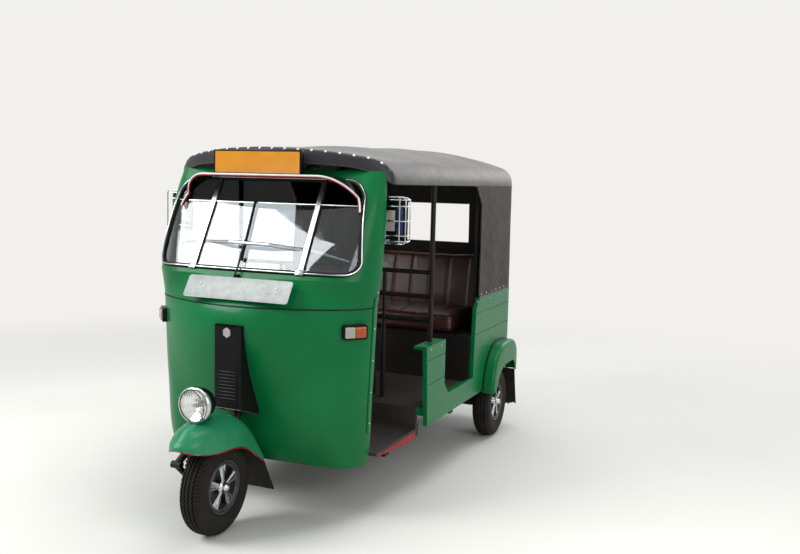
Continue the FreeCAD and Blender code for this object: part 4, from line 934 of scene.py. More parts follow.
@dataclass
class Windscreen:
    """Gasket, beads, dividers, clips, tinted strip and wiper round the curved glass."""

    low: float = 1.092
    top: float = 1.500
    half_low: float = 0.508
    half_top: float = 0.486
    corner_low: float = 0.055
    corner_top: float = 0.100
    divider_x: float = 0.27
    divider_width: float = 0.022
    bead_z: float = 1.387
    bead: float = 0.0032
    wiper_x: tuple[float, float] = (-0.023, -0.045)
    wiper_z: tuple[float, float] = (1.135, 1.390)

    def __post_init__(self) -> None:
        """Find the glass."""
        self.skin = Skin("windscreen")

    def reach(self, z: float, inset: float) -> float:
        """Give the opening's half width at height z, less an inset."""
        share = (z - self.low) / (self.top - self.low)
        return self.half_low + (self.half_top - self.half_low) * share - inset

    def outline(self, inset: float) -> list[tuple[float, float]]:
        """List points round the opening, seen from the front.

        Args:
            inset: How far inside the opening they lie.

        Returns:
            Points as x and z.
        """
        low, top = self.low + inset, self.top - inset
        wide, narrow = self.half_low - inset, self.half_top - inset
        r0, r1 = self.corner_low - inset / 2.0, self.corner_top - inset / 2.0
        corners = ((wide - r0, low + r0, r0, -0.25), (narrow - r1, top - r1, r1, 0.0))
        points = []
        for cx, cz, r, start in corners:
            for step in range(9):
                angle = TURN * (start + step / 32.0)
                points.append((cx + r * math.cos(angle), cz + r * math.sin(angle)))
            if start < 0.0:
                x0, z0 = points[-1]
                x1, z1 = narrow, top - r1
                points += [(x0 + (x1 - x0) * t / 10.0, z0 + (z1 - z0) * t / 10.0) for t in range(1, 10)]
        x0, z0 = points[-1]
        across = [(x0 * (1.0 - t / 14.0), z0) for t in range(1, 14)]
        sill = [(points[0][0] * t / 16.0, low) for t in range(1, 16)]
        left = sill + points + across
        return left + [(-x, z) for x, z in reversed(left[1:])]

    def ring(self, inset: float, lift: float, outline: Sequence[tuple[float, float]]) -> BMesh:
        """Sweep a section round the opening on the glass.

        Args:
            inset: How far inside the opening its middle runs.
            lift: How far above the glass it runs.
            outline: Its section.

        Returns:
            The ring.
        """
        met = [self.skin.front(x, z, lift) for x, z in self.outline(inset)]
        points = [p for p, _ in met]
        count = len(points)
        frames = []
        for i, (here, normal) in enumerate(met):
            along = (points[(i + 1) % count] - points[i - 1]).normalized()
            side = along.cross(normal).normalized()
            frames.append(cross_frame(side, normal - along * normal.dot(along), along, here))
        return sweep(frames, outline, closed=True)

    def bar(self, points: Sequence[tuple[float, float]], lift: float,
            outline: Sequence[tuple[float, float]]) -> BMesh:
        """Sweep a section along a line on the glass.

        Args:
            points: The line, as x and z.
            lift: How far above the glass it runs.
            outline: Its section.

        Returns:
            The bar.
        """
        met = [self.skin.front(x, z, lift) for x, z in points]
        frames = []
        for i, (here, normal) in enumerate(met):
            along = (met[min(i + 1, len(met) - 1)][0] - met[max(i - 1, 0)][0]).normalized()
            side = along.cross(normal).normalized()
            frames.append(cross_frame(side, side.cross(along) * -1.0, along, here))
        return sweep(frames, outline)

    def trim(self) -> None:
        """Build the gasket, beads and dividers in place of the plain trim."""
        gasket = self.ring(0.0085, 0.0045, oblong(0.019, 0.013, 0.005))
        bead = self.ring(0.0065, 0.0115, circle(self.bead, 10))
        width = self.divider_width
        ridged = [(-width / 2, -0.004), (width / 2, -0.004), (width / 2, 0.001), (width * 0.36, 0.0028),
                  (width * 0.2, 0.0022), (width * 0.1, 0.0042), (-width * 0.1, 0.0042),
                  (-width * 0.2, 0.0022), (-width * 0.36, 0.0028), (-width / 2, 0.001)]
        bright = bmesh.new()
        dark = bmesh.new()
        for s in SIDES:
            line = [(s * self.divider_x, self.low + 0.004 + (self.top - self.low - 0.008) * t / 16.0)
                    for t in range(17)]
            absorb(bright, self.bar(line, 0.0062, ridged))
            absorb(dark, self.bar(line, 0.0018, oblong(width + 0.012, 0.0055, 0.002)))
            foot, normal = self.skin.front(s * self.divider_x, self.low + 0.008, 0.0)
            clip = block((-0.019, -0.006, -0.013), (0.019, 0.010, 0.013), 0.003)
            turn = normal.to_track_quat("Y", "Z").to_matrix().to_4x4()
            bmesh.ops.transform(clip, matrix=Matrix.Translation(foot + normal * 0.008) @ turn,
                                verts=clip.verts)
            absorb(bright, clip)
        reach = self.reach(self.bead_z, 0.010)
        across = [(reach * t / 24.0, self.bead_z) for t in range(-24, 25)]
        absorb(bright, self.bar(across, 0.003, oblong(0.007, 0.006, 0.0025)))
        absorb(bright, bead)
        absorb(gasket, dark)
        finished("screen_gasket", gasket, GASKET, "body", ["screen_trim"])
        finished("screen_bright_trim", bright, STAINLESS, "body", sharp=30.0)

    def film(self) -> None:
        """Stick the tinted strip across the top of the glass."""
        rows = []
        for t in range(-30, 31):
            row = []
            for z in (self.bead_z + 0.002, (self.bead_z + self.top) / 2.0, self.top - 0.014):
                corner = max(0.0, z - self.top + self.corner_top * 0.9) * 0.55
                row.append(self.skin.front((self.reach(z, 0.012) - corner) * t / 30.0, z, 0.0006)[0])
            rows.append(row)
        bm = thickened(tidy(skinned(rows, closed=False)), 0.0004)
        finished("screen_shade_strip", bm, SHADE_FILM, "body", sharp=60.0)

    def wiper(self) -> None:
        """Build the wiper arm, its spindle, blade frame and rubber."""
        low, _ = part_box("wiper")
        spindle = Vector((-0.02, low.y, low.z + 0.011))
        bm = lathe([(0.001, 0.0), (0.001, 0.007), (0.005, 0.010), (0.030, 0.010)], spindle, BACK, 20)
        line = [self.skin.front(x, z, lift)[0] for x, z, lift in (
            (-0.021, 1.100, 0.026), (-0.026, 1.16, 0.024), (-0.030, 1.22, 0.020))]
        arm = [spindle + Vector((0.0, 0.004, 0.0)), spindle + Vector((-0.0005, 0.003, 0.012))] + line
        absorb(bm, sweep(path_frames(arm, side=Vector(LEFT)), oblong(0.009, 0.0045, 0.0018)))
        (x0, x1), (z0, z1) = self.wiper_x, self.wiper_z
        for lift, section in ((0.0155, oblong(0.0065, 0.007, 0.002)), (0.0075, oblong(0.0035, 0.011, 0.001))):
            rail = [self.skin.front(x0 + (x1 - x0) * i / 12.0, z0 + (z1 - z0) * i / 12.0, lift)[0]
                    for i in range(13)]
            absorb(bm, sweep(path_frames(rail, side=Vector(LEFT)), section))
        finished("wiper_arm_and_blade", bm, BLACK_MOULDING, "body", ["wiper"])

    def build(self) -> None:
        """Build every piece round the glass."""
        self.trim()
        self.film()
        self.wiper()


@dataclass
class Visor:
    """The sun visor with its rims, the blank sign and the blank number plate."""

    half: float = 0.460
    shift: float = 0.018
    drop: float = 1.362
    top: float = 1.514
    corner: float = 0.172
    thick: float = 0.008
    front_y: float = -0.786
    bow_r: float = 2.120
    rake: float = 0.8
    stand: float = 0.0045
    least: float = 0.016
    plate_half: tuple[float, float] = (0.2595, 0.0520)
    plate_place: tuple[float, float, float] = (0.010, -0.912, 1.026)
    plate_lean: float = math.radians(-32.0)
    leg_x: float = 0.150

    def arch(self, inside: float) -> list[tuple[float, float]]:
        """List points along the visor's arch.

        Args:
            inside: How far inside its outer face they lie.

        Returns:
            Points as x and z, from right to left.
        """
        half, top, corner = self.half - inside, self.top - inside, self.corner - inside
        foot = self.drop + 0.0015
        start = top - corner
        points = []
        for step in range(17):
            angle = TURN * step / 64.0
            x, z = half - corner + corner * math.cos(angle), start + corner * math.sin(angle)
            if z >= foot:
                points.append((x, z))
        edge = math.sqrt(max(corner ** 2 - (foot - start) ** 2, 0.0))
        points.insert(0, (half - corner + edge, foot))
        points += [((half - corner) * (1.0 - t / 8.0), top) for t in range(1, 9)]
        right = [(self.shift + x, z) for x, z in reversed(points[:-1])]
        return [(self.shift - x, z) for x, z in points] + right

    def depths(self) -> list[tuple[float, float]]:
        """List the y of the lip and of the foot on the screen's frame, along the arch."""
        skin = Skin("screen_surround", "windscreen")
        rows = []
        for x, z in self.arch(self.thick / 2.0):
            off = x - self.shift
            bow = self.bow_r - math.sqrt(self.bow_r ** 2 - off * off)
            back = skin.front(x, z)[0].y - self.stand
            rows.append((min(self.front_y + bow + (self.top - z) * self.rake, back - self.least), back))
        return rows

    def lip(self, behind: float, below: float) -> list[Vector]:
        """List points along the visor's front edge.

        Args:
            behind: How far behind the edge they lie.
            below: How far inside the arch's middle line they lie.

        Returns:
            The points, from right to left.
        """
        places = self.arch(self.thick / 2.0 + below)
        return [Vector((x, y + behind, z)) for (x, z), (y, _) in zip(places, self.depths())]

    def band(self) -> None:
        """Press the visor: an arched sheet from its lip back to the screen's frame."""
        rims = zip(self.arch(0.0), self.arch(self.thick), self.depths())
        rows = [((x0, lip, z0), (x0, back, z0), (x1, back, z1), (x1, lip, z1))
                for (x0, z0), (x1, z1), (lip, back) in rims]
        finished("visor_band", tidy(skinned(rows)), VISOR_ENAMEL, "body",
                 ["visor"], sharp=30.0)

    def rim(self) -> None:
        """Lay the white rim and the red line under it."""
        white = tube(thinned(self.lip(0.0012, -0.0020), 0.004), 0.0040)
        red = tube(thinned(self.lip(0.0012, 0.0040), 0.004), 0.0030)
        finished("visor_white_rim", white, WHITE_ENAMEL, "body")
        finished("visor_red_line", red, RED_ENAMEL, "body")

    def sign(self) -> None:
        """Build the sign box with its black border and bare yellow face."""
        low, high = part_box("sign_board")
        bm = block(low, high, 0.003)
        face = max(bm.faces, key=lambda f: (-f.normal.y, f.calc_area()))
        for f in bm.faces:
            f.material_index = 1
        bmesh.ops.inset_region(bm, faces=[face], thickness=0.006, depth=-0.0012)
        face.material_index = 0
        finished("sign_box", bm, [SIGN_YELLOW, BLACK_MOULDING], "body", ["sign_board"])

    def plate(self) -> None:
        """Build the bare pressed number plate with its rim and bolts."""
        a, b = self.plate_half
        frames = [Matrix.Translation((0.0, 0.0, z)) for z in (-0.001, 0.0012)]
        bm = sweep(frames, oblong(2 * a, 2 * b, 0.012, 5))
        face = max(bm.faces, key=lambda f: (round(f.normal.z, 3), f.calc_area()))
        bmesh.ops.inset_region(bm, faces=[face], thickness=0.004, depth=0.0)
        bmesh.ops.inset_region(bm, faces=[face], thickness=0.0025, depth=-0.0012)
        studs = bmesh.new()
        for x in (-0.19, 0.19):
            absorb(studs, dome(Vector((x, 0.016, 0.0000)), Vector((0.0, 0.0, 1.0)), 0.006, 0.003))
        place = (Matrix.Translation(self.plate_place) @ Matrix.Rotation(self.plate_lean, 4, "X")
                 @ Matrix.Rotation(math.radians(90.0), 4, "X"))
        for one, name, finish, slot in ((bm, "front_number_plate", PLATE_WHITE, "plate_white"),
                                        (studs, "front_plate_bolts", STAINLESS, "bright_trim")):
            bmesh.ops.transform(one, matrix=place, verts=one.verts)
            finished(name, one, finish, "body")
        self.legs()

    def legs(self) -> None:
        """Stand the plate on its two legs."""
        x, y, z = self.plate_place
        bm = bmesh.new()
        skin = Skin("screen_surround")
        for s in SIDES:
            start = Vector((x + s * self.leg_x, y + 0.005, z))
            end, _ = skin.meet(start, (0.0, 0.048, -0.008), 0.0004)
            absorb(bm, tube([start, end], 0.0058))
        finished("front_plate_legs", bm, BLACK_ENAMEL, "body", ["front_plate"])

    def build(self) -> None:
        """Build the band, rim, sign and plate."""
        self.band()
        self.rim()
        self.sign()
        self.plate()


@dataclass
class Wheel:
    """One wheel: zigzag ribbed tyre, pressed rim and bright five-spoke cap."""

    prefix: str
    body: str
    outward: float
    grooves: tuple[float, ...] = (-0.0265, -0.0090, 0.0090, 0.0265)
    groove_half: float = 0.0036
    groove_depth: float = 0.0075
    zigzag: float = 0.0031
    pitches: int = 76
    steps_in_pitch: int = 4
    spokes: int = 5
    cap_radius: float = 0.104
    rim_radius: float = 0.115
    rim_half: float = 0.045
    hub_x: tuple[float, float] = (-0.045, 0.026)
    hub_r: float = 0.025
    bore: float = 0.0112
    nut_circle: float = 0.058

    def __post_init__(self) -> None:
        """Read the tyre's place and size from its CAD node."""
        low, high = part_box(self.prefix + "_tyre")
        self.centre = (low + high) / 2.0
        self.radius = (high.z - low.z) / 2.0
        self.half = (high.x - low.x) / 2.0

    def drop(self, x: float) -> float:
        """Give how far the crown lies below the tyre's radius at x."""
        w = self.half
        rows = ((0.0, 0.0), (w * 0.22, 0.0005), (w * 0.45, 0.0025), (w * 0.60, 0.0052), (w * 0.72, 0.009))
        return between(rows, x)[0]

    def tread(self) -> list[tuple[float, float, bool]]:
        """List the tyre's section from one bead to the other.

        Returns:
            Points as x from the middle, radius, and whether the zigzag moves them.
        """
        w, r = self.half, self.radius
        crown = [(0.0, 0.0, False)]
        edge = self.groove_half
        for g in [g for g in self.grooves if g > 0]:
            d = self.drop(g)
            crown += [(g - edge - 0.0004, self.drop(g - edge), True),
                      (g - edge * 0.6, d + self.groove_depth, True),
                      (g + edge * 0.6, d + self.groove_depth, True),
                      (g + edge + 0.0004, self.drop(g + edge), True)]
        side = [(w * 0.66, 0.0070, False), (w * 0.72, 0.0090, False), (w * 0.80, 0.0135, False),
                (w * 0.875, 0.0200, False), (w * 0.905, 0.0240, False), (w * 0.925, 0.0262, False),
                (w * 0.965, 0.0345, False), (w * 0.99, 0.0430, False), (w, 0.0520, False),
                (w * 0.995, 0.0620, False), (w * 0.972, 0.0640, False), (w * 0.960, 0.0700, False),
                (w * 0.950, 0.0760, False), (w * 0.920, 0.0825, False)]
        bead = [(w * 0.89, 0.0868, False), (w * 0.84, 0.0892, False), (w * 0.78, 0.0906, False),
                (w * 0.40, 0.0906, False)]
        left = [(x, r - d, z) for x, d, z in crown + side + bead]
        return [(-x, radius, z) for x, radius, z in reversed(left[1:])] + left

    def tyre(self) -> None:
        """Spin the section, then set the grooves to zigzag and notch the shoulders."""
        section = self.tread()
        steps = self.pitches * self.steps_in_pitch
        bm = lathe([(x, r) for x, r, _ in section], self.centre, LEFT, steps)
        movable = {(round(x, 5), round(r, 5)) for x, r, z in section if z}
        shoulder = (self.half * 0.65, self.half * 0.89)
        for v in bm.verts:
            here = v.co - self.centre
            radius = math.hypot(here.y, here.z)
            step = round((math.atan2(here.z, here.y) / TURN) * steps)
            phase = step % self.steps_in_pitch
            if (round(here.x, 5), round(radius, 5)) in movable:
                v.co.x += self.zigzag * (1.0, 0.0, -1.0, 0.0)[phase]
            elif shoulder[0] < abs(here.x) < shoulder[1] and phase == 0:
                shrink = (radius - 0.0055) / radius
                v.co.y = self.centre.y + here.y * shrink
                v.co.z = self.centre.z + here.z * shrink
        finished(self.prefix + "_ribbed_tyre", bm, TYRE_RUBBER, self.body,
                 [self.prefix + "_tyre"], sharp=42.0)

    def spoke(self, angle: float) -> BMesh:
        """Make one broad spoke with a groove down its middle.

        Args:
            angle: Its turn about the axle.

        Returns:
            The spoke.
        """
        outline = [(-1.0, 0.0), (1.0, 0.0), (1.0, 0.0060), (0.86, 0.0098), (0.40, 0.0114), (0.30, 0.0060),
                   (-0.30, 0.0060), (-0.40, 0.0114), (-0.86, 0.0098), (-1.0, 0.0060)]
        rows = ((0.018, 0.0090, 0.0300), (0.045, 0.0140, 0.0292), (0.075, 0.0205, 0.0286),
                (self.cap_radius - 0.005, 0.0265, 0.0282))
        bm = tidy(skinned([[(height + h, t * half, radius) for t, h in outline]
                           for radius, half, height in rows]))
        bmesh.ops.rotate(bm, cent=ORIGIN, matrix=Matrix.Rotation(angle, 3, "X"), verts=bm.verts)
        return bm

    def hung(self, bm: BMesh) -> BMesh:
        """Face a part outwards and move it to its axle."""
        if self.outward < 0:
            bmesh.ops.rotate(bm, cent=ORIGIN, matrix=Matrix.Rotation(math.pi, 3, "Z"), verts=bm.verts)
        bmesh.ops.translate(bm, vec=self.centre, verts=bm.verts)
        return bm

    def cap(self) -> None:
        """Build the five-spoke cap with its rim ring and centre dome."""
        r = self.cap_radius
        bm = bmesh.new()
        for i in range(self.spokes):
            absorb(bm, self.spoke(TURN * i / self.spokes))
        ring = [(0.0282, r - 0.0115), (0.0375, r - 0.0115), (0.0412, r - 0.0085), (0.0418, r - 0.0050),
                (0.0400, r - 0.0015), (0.0360, r - 0.0002), (0.0282, r - 0.0002), (0.0282, r - 0.0115)]
        rim = lathe(ring, ORIGIN, LEFT, 80)
        for f in rim.faces:
            f.material_index = 1
        absorb(bm, rim)
        hub = [(0.0266, 0.0), (0.0266, 0.0300), (0.0330, 0.0296), (0.0385, 0.0262), (0.0420, 0.0222),
               (0.0440, 0.0205), (0.0500, 0.0196), (0.0560, 0.0178), (0.0605, 0.0145), (0.0636, 0.0102),
               (0.0652, 0.0056), (0.0658, 0.0)]
        absorb(bm, lathe(hub, ORIGIN, LEFT, 44))
        finished(self.prefix + "_spoked_cap", self.hung(bm), [CHROME, RIM_LACQUER], self.body,
                 [self.prefix + "_cap"], sharp=32.0)

    def rim(self) -> None:
        """Turn the pressed rim with its disc and hub, and set its nuts."""
        w, r = self.rim_half, self.rim_radius
        barrel = [(-w, r - 0.0014), (-w, r - 0.0072), (-w * 0.9, r - 0.0090), (-w * 0.5, r - 0.0200),
                  (w * 0.5, r - 0.0200), (w * 0.9, r - 0.0090), (w, r - 0.0072), (w + 0.0006, r - 0.0030),
                  (w * 0.97, r - 0.0012), (w * 0.4, r - 0.0014), (w * 0.3, r - 0.0140),
                  (-w * 0.3, r - 0.0140), (-w * 0.4, r - 0.0014), (-w, r - 0.0014)]
        bm = lathe(barrel, ORIGIN, LEFT, 80)
        disc = [(-0.004, 0.020), (0.004, 0.020), (0.0075, 0.050), (0.0040, 0.074), (0.006, r - 0.017),
                (-0.002, r - 0.017), (-0.004, 0.020)]
        absorb(bm, lathe(disc, ORIGIN, LEFT, 64))
        (back, front), bore, hub_r = self.hub_x, self.bore, self.hub_r
        hub = [(back, bore), (front, bore), (front, hub_r), (back, hub_r), (back, bore)]
        absorb(bm, lathe(hub, ORIGIN, LEFT, 40))
        for i in range(self.spokes):
            angle = TURN * (i + 0.5) / self.spokes
            place = (0.0060, self.nut_circle * math.sin(angle), self.nut_circle * math.cos(angle))
            absorb(bm, lathe([(0.0, 0.0), (0.0, 0.010), (0.009, 0.010), (0.009, 0.0)], place, LEFT, 6))
        finished(self.prefix + "_pressed_rim", self.hung(bm), RIM_LACQUER, self.body,
                 [self.prefix + "_rim"], sharp=32.0)

    def build(self) -> None:
        """Build the tyre, the rim and the cap."""
        self.tyre()
        self.rim()
        self.cap()


@dataclass
class HeadLamp:
    """Black bucket, bright bezel, reflector, bulb and fluted glass."""

    def __post_init__(self) -> None:
        """Read the lamp's place and size from its CAD node."""
        low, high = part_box("headlamp_lens")
        self.centre = Vector(((low.x + high.x) / 2.0, low.y + 0.007, (low.z + high.z) / 2.0))
        self.glass = (high.z - low.z) / 2.0
        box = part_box("headlamp")
        self.radius = (box[1].x - box[0].x) / 2.0
        self.back = box[1].y - self.centre.y
        self.foot_z = box[0].z

    def bucket(self) -> None:
        """Turn the black bucket, and join its foot and two cables."""
        r, centre = self.radius, self.centre
        shell = [(0.014, r - 0.004), (0.022, r - 0.0035), (0.040, r - 0.007), (0.058, r - 0.013),
                 (0.074, r - 0.022), (0.090, r - 0.036), (0.102, r - 0.054), (self.back, 0.0)]
        bm = lathe(shell, centre, BACK, 64)
        absorb(bm, block((-0.022, centre.y + 0.030, self.foot_z),
                         (0.022, centre.y + 0.078, centre.z - 0.045), 0.006))
        for x in (-0.012, 0.012):
            cable = [Vector((x, centre.y + behind, centre.z - below))
                     for behind, below in ((0.06, 0.05), (0.085, 0.06), (0.10, 0.085))]
            absorb(bm, tube(cable, 0.0035))
        finished("lamp_bucket", bm, BLACK_MOULDING, "steering", ["headlamp"])

    def build(self) -> None:
        """Build every piece of the lamp."""
        self.bucket()
        r, g = self.radius, self.glass
        lip = [(0.020, r - 0.0045), (0.018, r - 0.0005), (0.008, r), (0.000, r - 0.0012),
               (-0.004, r - 0.004), (-0.0052, r - 0.0075), (-0.003, r - 0.0095), (0.002, r - 0.0098),
               (0.008, r - 0.012)]
        seal = [(-0.0030, r - 0.0080), (-0.0046, r - 0.0092), (-0.0046, r - 0.0112), (-0.0030, r - 0.0124),
                (-0.0008, r - 0.0100), (-0.0030, r - 0.0080)]
        bowl = [(0.004, r - 0.0105), (0.010, r - 0.018), (0.020, r - 0.032), (0.027, r - 0.047),
                (0.032, 0.014), (0.036, 0.011)]
        bulb = [(0.036, 0.011), (0.020, 0.011), (0.018, 0.008), (0.010, 0.0085), (0.003, 0.006), (0.0, 0.0)]
        pane = [(-0.0065, 0.0), (-0.0060, g * 0.35), (-0.0045, g * 0.65), (-0.0015, g * 0.88), (0.001, g),
                (0.0035, g), (0.001, g * 0.88), (-0.0015, g * 0.65), (-0.003, g * 0.35), (-0.0035, 0.0)]
        for name, outline, steps, finish, slot, replaces in (
                ("lamp_bezel", lip, 72, CHROME, "bright_trim", ()),
                ("lamp_seal", seal, 72, SEAL_RED, "edge_red", ()),
                ("lamp_reflector", bowl, 64, REFLECTOR, "bright_trim", ()),
                ("lamp_bulb", bulb, 24, STAINLESS, "bright_trim", ()),
                ("lamp_glass", pane, 64, LAMP_GLASS, "clear_glass", ["headlamp_lens"])):
            finished(name, lathe(outline, self.centre, BACK, steps), finish, "steering", replaces)


@dataclass
class TurnLamps:
    """Front indicator lenses on their housings, and the dressed tail lamps."""

    turn: float = math.radians(48.0)
    place: tuple[float, float, float] = (0.484, -0.746, 0.860)
    face: float = -0.022
    tail_inner: float = 0.428

    def front(self) -> None:
        """Set a clear and an amber lens in each front housing."""
        for s, name in zip(SIDES, ("left", "right")):
            for low, high, kind, finish in ((-0.047, -0.003, "clear", WHITE_LENS),
                                            (-0.002, 0.047, "amber", AMBER_LENS)):
                bm = block((low, self.face - 0.009, -0.0235), (high, self.face + 0.004, 0.0235), 0.004)
                place = Matrix.Translation(self.place) @ Matrix.Rotation(self.turn, 4, "Z")
                bmesh.ops.transform(bm, matrix=place, verts=bm.verts)
                if s < 0:
                    flipped(bm)
                finished(f"front_{name}_{kind}_lens", bm, finish, "body")

    def rear(self) -> None:
        """Build tail lamp clusters: black base, red and amber lenses."""
        low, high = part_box("tail_lamps")
        bases, reds, ambers = bmesh.new(), bmesh.new(), bmesh.new()
        for s in SIDES:
            x0, x1 = sorted((s * self.tail_inner, s * high.x))
            absorb(bases, block((x0, low.y, low.z), (x1, low.y + 0.010, high.z), 0.004))
            middle = low.z + (high.z - low.z) * 0.62
            absorb(reds, block((x0 + 0.005, low.y + 0.008, low.z + 0.006),
                               (x1 - 0.005, high.y, middle), 0.005))
            absorb(ambers, block((x0 + 0.005, low.y + 0.008, middle + 0.003),
                                 (x1 - 0.005, high.y, high.z - 0.006), 0.005))
        finished("tail_lamp_bases", bases, BLACK_MOULDING, "body", ["tail_lamps"])
        finished("tail_red_lenses", reds, RED_LENS, "body")
        finished("tail_amber_lenses", ambers, AMBER_LENS, "body")

    def build(self) -> None:
        """Build the lenses at both ends."""
        self.front()
        self.rear()


@dataclass
class Hood:
    """The soft roof: one continuous cloth with its valance, curtains, bindings and press studs."""

    sections: tuple[tuple[float, float, float], ...] = (
        (-0.720, 0.556, 1.636), (-0.240, 0.576, 1.664), (0.400, 0.584, 1.686), (1.050, 0.588, 1.694),
        (1.290, 0.588, 1.690))
    edge_z: float = 1.486
    side_r: float = 0.118
    foot_z: float = 0.865
    body_half: float = 0.600
    front_y: float = 0.305
    front_r: float = 1.007
    rear_y: float = 1.288
    corner_r: float = 0.105
    back_r: float = 0.170
    blend: float = 0.020
    cuts: int = 63
    cloth: float = 0.0030
    bows: tuple[float, ...] = (-0.640, -0.020, 0.660, 1.090, 1.250)
    sag: float = 0.009
    front_edge: tuple[tuple[float, float], ...] = (
        (0.0, 1.570), (0.20, 1.567), (0.395, 1.556), (0.48, 1.535), (0.530, 1.504), (0.560, 1.486))
    window: tuple[float, float, float] = (0.300, 1.120, 1.370)
    door_edge: tuple[tuple[float, float], ...] = ((0.80, 0.600), (1.38, 0.640), (1.486, 0.550))
    corner_x: float = 0.605
    back_place: tuple[float, float] = (1.104, 1.530)
    middle_y: tuple[float, float] = (-0.30, 0.90)
    middle_z: float = 1.30
    far: float = 1.7
    valance_y: float = -0.40
    weld: float = 0.0012
    crest_z: tuple[float, float, float] = (1.40, 1.505, 1.72)
    crest_half: float = 0.540
    stud_gap: float = 0.062
    stud: tuple[float, float] = (0.0066, 0.0035)

    def size(self, y: float) -> tuple[float, float]:
        """Interpolate the half width and the crown height at y."""
        half, crown = between(self.sections, max(y, self.sections[0][0]))
        return half, crown

    def across(self, p: Vector) -> float:
        """Measure how far p lies outside the cross section."""
        half, crown = self.size(p.y)
        x = abs(p.x)
        if p.z < self.edge_z:
            share = (self.edge_z - p.z) / (self.edge_z - self.foot_z)
            return x - half - (self.body_half - half) * share
        a, r, b = half - self.side_r, self.side_r, crown - self.edge_z
        big = (a * a + b * b - r * r) / (2.0 * (b - r))
        low = self.edge_z + b - big
        here_x, here_z = x - a, p.z - self.edge_z
        if a * here_z > (self.edge_z - low) * here_x:
            return math.hypot(x, p.z - low) - big
        return math.hypot(here_x, here_z) - r

    def along(self, p: Vector) -> float:
        """Measure how far p lies outside the plan and the side view."""
        front = math.hypot(p.x, p.y - self.front_y) - self.front_r if p.y < self.front_y else -1.0
        cx, cy = abs(p.x) - (self.corner_x - self.corner_r), p.y - (self.rear_y - self.corner_r)
        rear = math.hypot(cx, cy) - self.corner_r if cx > 0.0 and cy > 0.0 else cy - self.corner_r
        ry, rz = p.y - self.back_place[0], p.z - self.back_place[1]
        lean = p.y - 1.296 + 0.022 * (p.z - 0.8) / 0.73
        back = math.hypot(ry, rz) - self.back_r if ry > 0.0 and rz > 0.0 else lean
        return max(front, rear, back)

    def outside(self, p: Vector) -> float:
        """Measure how far p lies outside the cloth, with its edges rounded."""
        a, b = self.across(p), self.along(p)
        near = max(self.blend - abs(a - b), 0.0) / self.blend
        return max(a, b) + near * near * self.blend / 4.0

    def project(self, p: Vector) -> Vector:
        """Move p along its ray from the cab's middle line on to the cloth."""
        front, rear = self.middle_y
        start = Vector((0.0, min(max(p.y, front), rear), self.middle_z))
        way = (p - start).normalized()
        return start + way * seek(lambda far: self.outside(start + way * far) > 0.0, 0.0, self.far)

    def edge_height(self, x: float) -> float:
        """Give the height of the valance's lower edge at x."""
        return between(self.front_edge, abs(x))[0]

    def is_front(self, p: Vector) -> bool:
        """Tell whether p lies on the valance's forward face."""
        return p.y < self.valance_y and self.along(p) > -0.012

    def is_open(self, p: Vector) -> bool:
        """Tell whether the cloth is cut away at p."""
        if p.z < self.foot_z + 0.001:
            return True
        if self.is_front(p) and p.z < self.edge_height(p.x):
            return True
        half, low, top = self.window
        if p.y > 1.20 and abs(p.x) < half and low < p.z < top:
            return True
        return p.z < self.edge_z and p.y < between(self.door_edge, p.z)[0]

    def shell(self) -> BMesh:
        """Make the cut cloth as one layer on the roof's form."""
        bm = bmesh.new()
        bmesh.ops.create_cube(bm, size=1.0)
        bmesh.ops.delete(bm, geom=[f for f in bm.faces if f.normal.z < -0.5], context="FACES_ONLY")
        bmesh.ops.subdivide_edges(bm, edges=bm.edges[:], cuts=self.cuts, use_grid_fill=True)
        for v in bm.verts:
            v.co = self.project(Vector((v.co.x * 1.30, 0.29 + v.co.y * 2.08, 1.255 + v.co.z * 0.93)))
        half, low, top = self.window
        planes = [((0, 0, self.foot_z + 0.001), (0, 0, 1)), ((0, 0, self.edge_z), (0, 0, 1))]
        planes += [((0, y0, z0), (0, z1 - z0, y0 - y1))
                   for (z0, y0), (z1, y1) in zip(self.door_edge, self.door_edge[1:])]
        planes += [((half, 0, 0), LEFT), ((-half, 0, 0), LEFT), ((0, 0, low), (0, 0, 1)),
                   ((0, 0, top), (0, 0, 1))]
        for place, way in planes:
            sliced(bm, place, way, 1e-5)
        gone = [f for f in bm.faces if self.is_open(f.calc_center_median())]
        bmesh.ops.delete(bm, geom=gone, context="FACES")
        for v in bm.verts:
            if v.is_boundary and self.is_front(v.co):
                v.co.z = self.edge_height(v.co.x)
                v.co = self.project(v.co)
        bmesh.ops.remove_doubles(bm, verts=bm.verts, dist=self.weld)
        return bm

    def drape(self, bm: BMesh) -> None:
        """Let the cloth sink between the bows and wrinkle where it is pulled.

        Args:
            bm: The cloth, moved in place.
        """
        bm.normal_update()
        moves = {}
        for v in bm.verts:
            p, n = v.co, v.normal
            top = max(0.0, min(1.0, (p.z - 1.50) / 0.10)) * max(0.0, n.z)
            depth = 0.0
            for y0, y1 in zip(self.bows, self.bows[1:]):
                if y0 < p.y < y1:
                    depth = self.sag * math.sin(math.pi * (p.y - y0) / (y1 - y0)) ** 2 * (y1 - y0) / 0.65
            flow = noise.noise(Vector((p.x * 2.2, p.y * 5.0, p.z * 2.6)))
            fine = noise.noise(Vector((p.x * 9.0 + p.z * 4.0, p.y * 7.0 - p.z * 6.0, p.z * 10.0)))
            folds = 0.0022 * flow + 0.0011 * fine
            if p.z < 1.48:
                pull = noise.noise(Vector((p.x * 5.0 + p.z * 2.0, p.y * 6.0 + p.z * 2.0, p.z * 1.3)))
                folds += 0.0040 * pull * min(1.0, (1.48 - p.z) / 0.2) * min(1.0, (p.z - self.foot_z) / 0.06)
            moves[v] = -n * (depth * top + 0.0030 - folds)
        for v, move in moves.items():
            v.co += move

